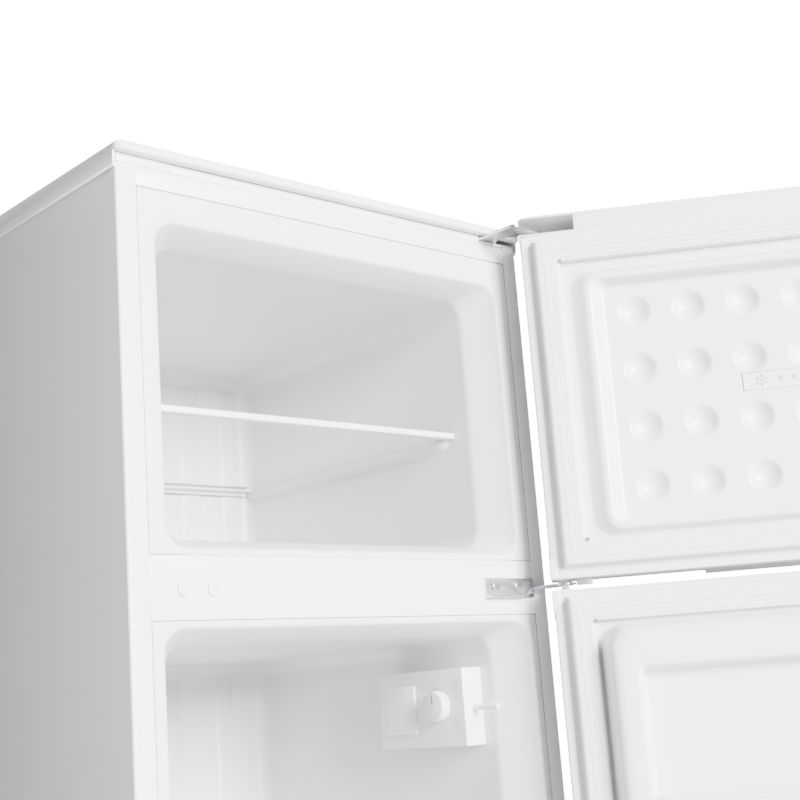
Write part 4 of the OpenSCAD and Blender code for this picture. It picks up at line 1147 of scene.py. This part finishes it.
def machine():
    """Compressor with its fill stub, the terminal box, the drip tray and the evaporator."""
    low, high = reach("compressor")
    x = (low.x + high.x) / 2
    y = (low.y + high.y) / 2
    z = low.z + 3
    shape = Shape()
    profile = [(0, 0), (50, 0), (60, 2), (67, 7), (70.5, 15), (71.4, 40), (71.4, 61), (72, 61.3)]
    profile += [(72, 63.7), (71.4, 64)]
    for i in range(9):
        a = math.radians(90 * i / 8)
        profile.append((37 + 34.2 * math.cos(a), 94 + 34 * math.sin(a)))
    profile.append((0, 128))
    shape.lathe(profile, (x, y, z), "Z", 72)
    shape.block((x - 71, y - 61, z - 3), (x + 71, y + 61, z + 1), 1.2)
    finished("compressor_shell", shape, "cabinet", BLACK_STEEL, ("compressor",))
    stub = Shape()
    profile = [(0, 0), (3.2, 0), (3.2, 24), (2.2, 30), (0.6, 32), (0, 32)]
    stub.lathe(profile, (x + 30, y + 40, z + 106), "Z", 16)
    stub.lathe([(0, 0), (6, 0), (6, 3), (4, 5), (0, 5)], (x + 30, y + 40, z + 112), "Z", 16)
    finished("compressor_fill_stub", stub, "cabinet", COPPER)
    softened("compressor_grommets", BLACK_RUBBER, 0.8)
    softened("power_inlet", BLACK_PLASTIC, 1.2)
    softened("drip_tray", TRAY_PLASTIC, 0.5)
    softened("evaporator", ALUMINIUM, 0.2)


def feet():
    """Levelling feet in front and rollers behind."""
    for node in ("foot_left", "foot_right"):
        softened(node, BLACK_PLASTIC, 0.8)
    softened("rear_rollers", BLACK_PLASTIC, 0.8)


def door_cores():
    """Foam blocks between each door's skin and its inner panel."""
    levels = {"freezer_door": FREEZER_DOOR, "fridge_door": FRIDGE_DOOR}
    for body, (z0, z1) in levels.items():
        core = Shape()
        half = SKIN_HALF - 4
        core.block((-half, DOOR_OUT + 3, z0 + 36), (half, FIELD_Y - 12, z1 - 36), 1.0)
        finished(body + "_core", core, body, FOAM, (body + "_foam",), door=True)


def tubes():
    """Copper pipework and the condenser's tube."""
    for node in ("pipework", "condenser_tube"):
        softened(node, COPPER, 0.1, 60)


# ---- Floor, light and camera ----

def studio():
    """A pale floor, four soft lamps and an even surround."""
    far = 6000
    floor = Shape().net([(x, y, -0.5) for y in (-far, far) for x in (-far, far)], 2)
    pale = (0.56, 0.56, 0.565)
    material, tree, surface = shader("pale_floor", pale, 0.6)
    tinted(tree, surface, ranged(tree, noise(tree, even(1.5)), 0, 1), pale, (0.545, 0.545, 0.552))
    thing = link("floor", floor.mesh("floor"))
    thing.data.materials.append(material)

    world = bpy.data.worlds.new("studio")
    bpy.context.scene.world = world
    world.use_nodes = True
    tree = world.node_tree
    shade = tree.nodes["Background"]
    shade.inputs["Color"].default_value = (0.985, 0.99, 1.0, 1)
    shade.inputs["Strength"].default_value = 0.12
    seen = tree.nodes.new("ShaderNodeBackground")
    seen.inputs["Color"].default_value = (1, 1, 1, 1)
    seen.inputs["Strength"].default_value = 18
    ray = tree.nodes.new("ShaderNodeLightPath")
    mix = tree.nodes.new("ShaderNodeMixShader")
    tree.links.new(ray.outputs["Is Camera Ray"], mix.inputs["Fac"])
    tree.links.new(shade.outputs[0], mix.inputs[1])
    tree.links.new(seen.outputs[0], mix.inputs[2])
    tree.links.new(mix.outputs[0], tree.nodes["World Output"].inputs["Surface"])

    lamps = (
        ("front_softbox", (-0.4, -9.0, 3.6), (0.0, 0.1, 1.1), 4.0, 7400),
        ("right_softbox", (3.4, 0.4, 1.8), (0.0, 0.2, 1.0), 2.0, 30),
        ("back_softbox", (0.3, 4.4, 2.0), (0.2, 0.0, 1.1), 2.0, 30),
        ("top_softbox", (0.4, 0.6, 3.6), (0.0, 0.2, 1.4), 1.6, 14),
    )
    for name, place_at, aim, size, power in lamps:
        data = bpy.data.lights.new(name, "AREA")
        data.shape = "SQUARE"
        data.size = size
        data.energy = power
        lamp = bpy.data.objects.new(name, data)
        lamp.location = place_at
        lamp.visible_camera = False
        lamp.rotation_euler = (Vector(aim) - Vector(place_at)).to_track_quat("-Z", "Y").to_euler()
        bpy.context.scene.collection.objects.link(lamp)


def camera():
    """A low view from the front left, up into the open freezer."""
    yaw = math.radians(47.384)
    pitch = math.radians(12.142)
    roll = math.radians(4.2667)
    stand = (-0.93425, -1.08995, 0.89021)
    ahead = Vector((math.cos(yaw) * math.cos(pitch), math.sin(yaw) * math.cos(pitch), math.sin(pitch)))
    right = Vector((math.sin(yaw), -math.cos(yaw), 0))
    down = ahead.cross(right)
    across = math.cos(roll) * right + math.sin(roll) * down
    below = -math.sin(roll) * right + math.cos(roll) * down
    data = bpy.data.cameras.new("camera")
    data.sensor_width = 36
    data.lens = 63.57
    data.clip_start = 0.02
    thing = bpy.data.objects.new("camera", data)
    turn = Matrix((across, -below, -ahead)).transposed().to_4x4()
    thing.matrix_world = Matrix.Translation(stand) @ turn
    bpy.context.scene.collection.objects.link(thing)
    bpy.context.scene.camera = thing


camera()
studio()
top_cover()
front_rails()
seams()
freezer_liner()
fridge_liner()
freezer_door_sheet()
frost_mark()
fridge_door_sheet()
gasket("freezer_door")
gasket("fridge_door")
door_caps()
hinges()
shelves()
drawer()
bins()
bin_lugs()
thermostat()
back()
machine()
feet()
door_cores()
tubes()
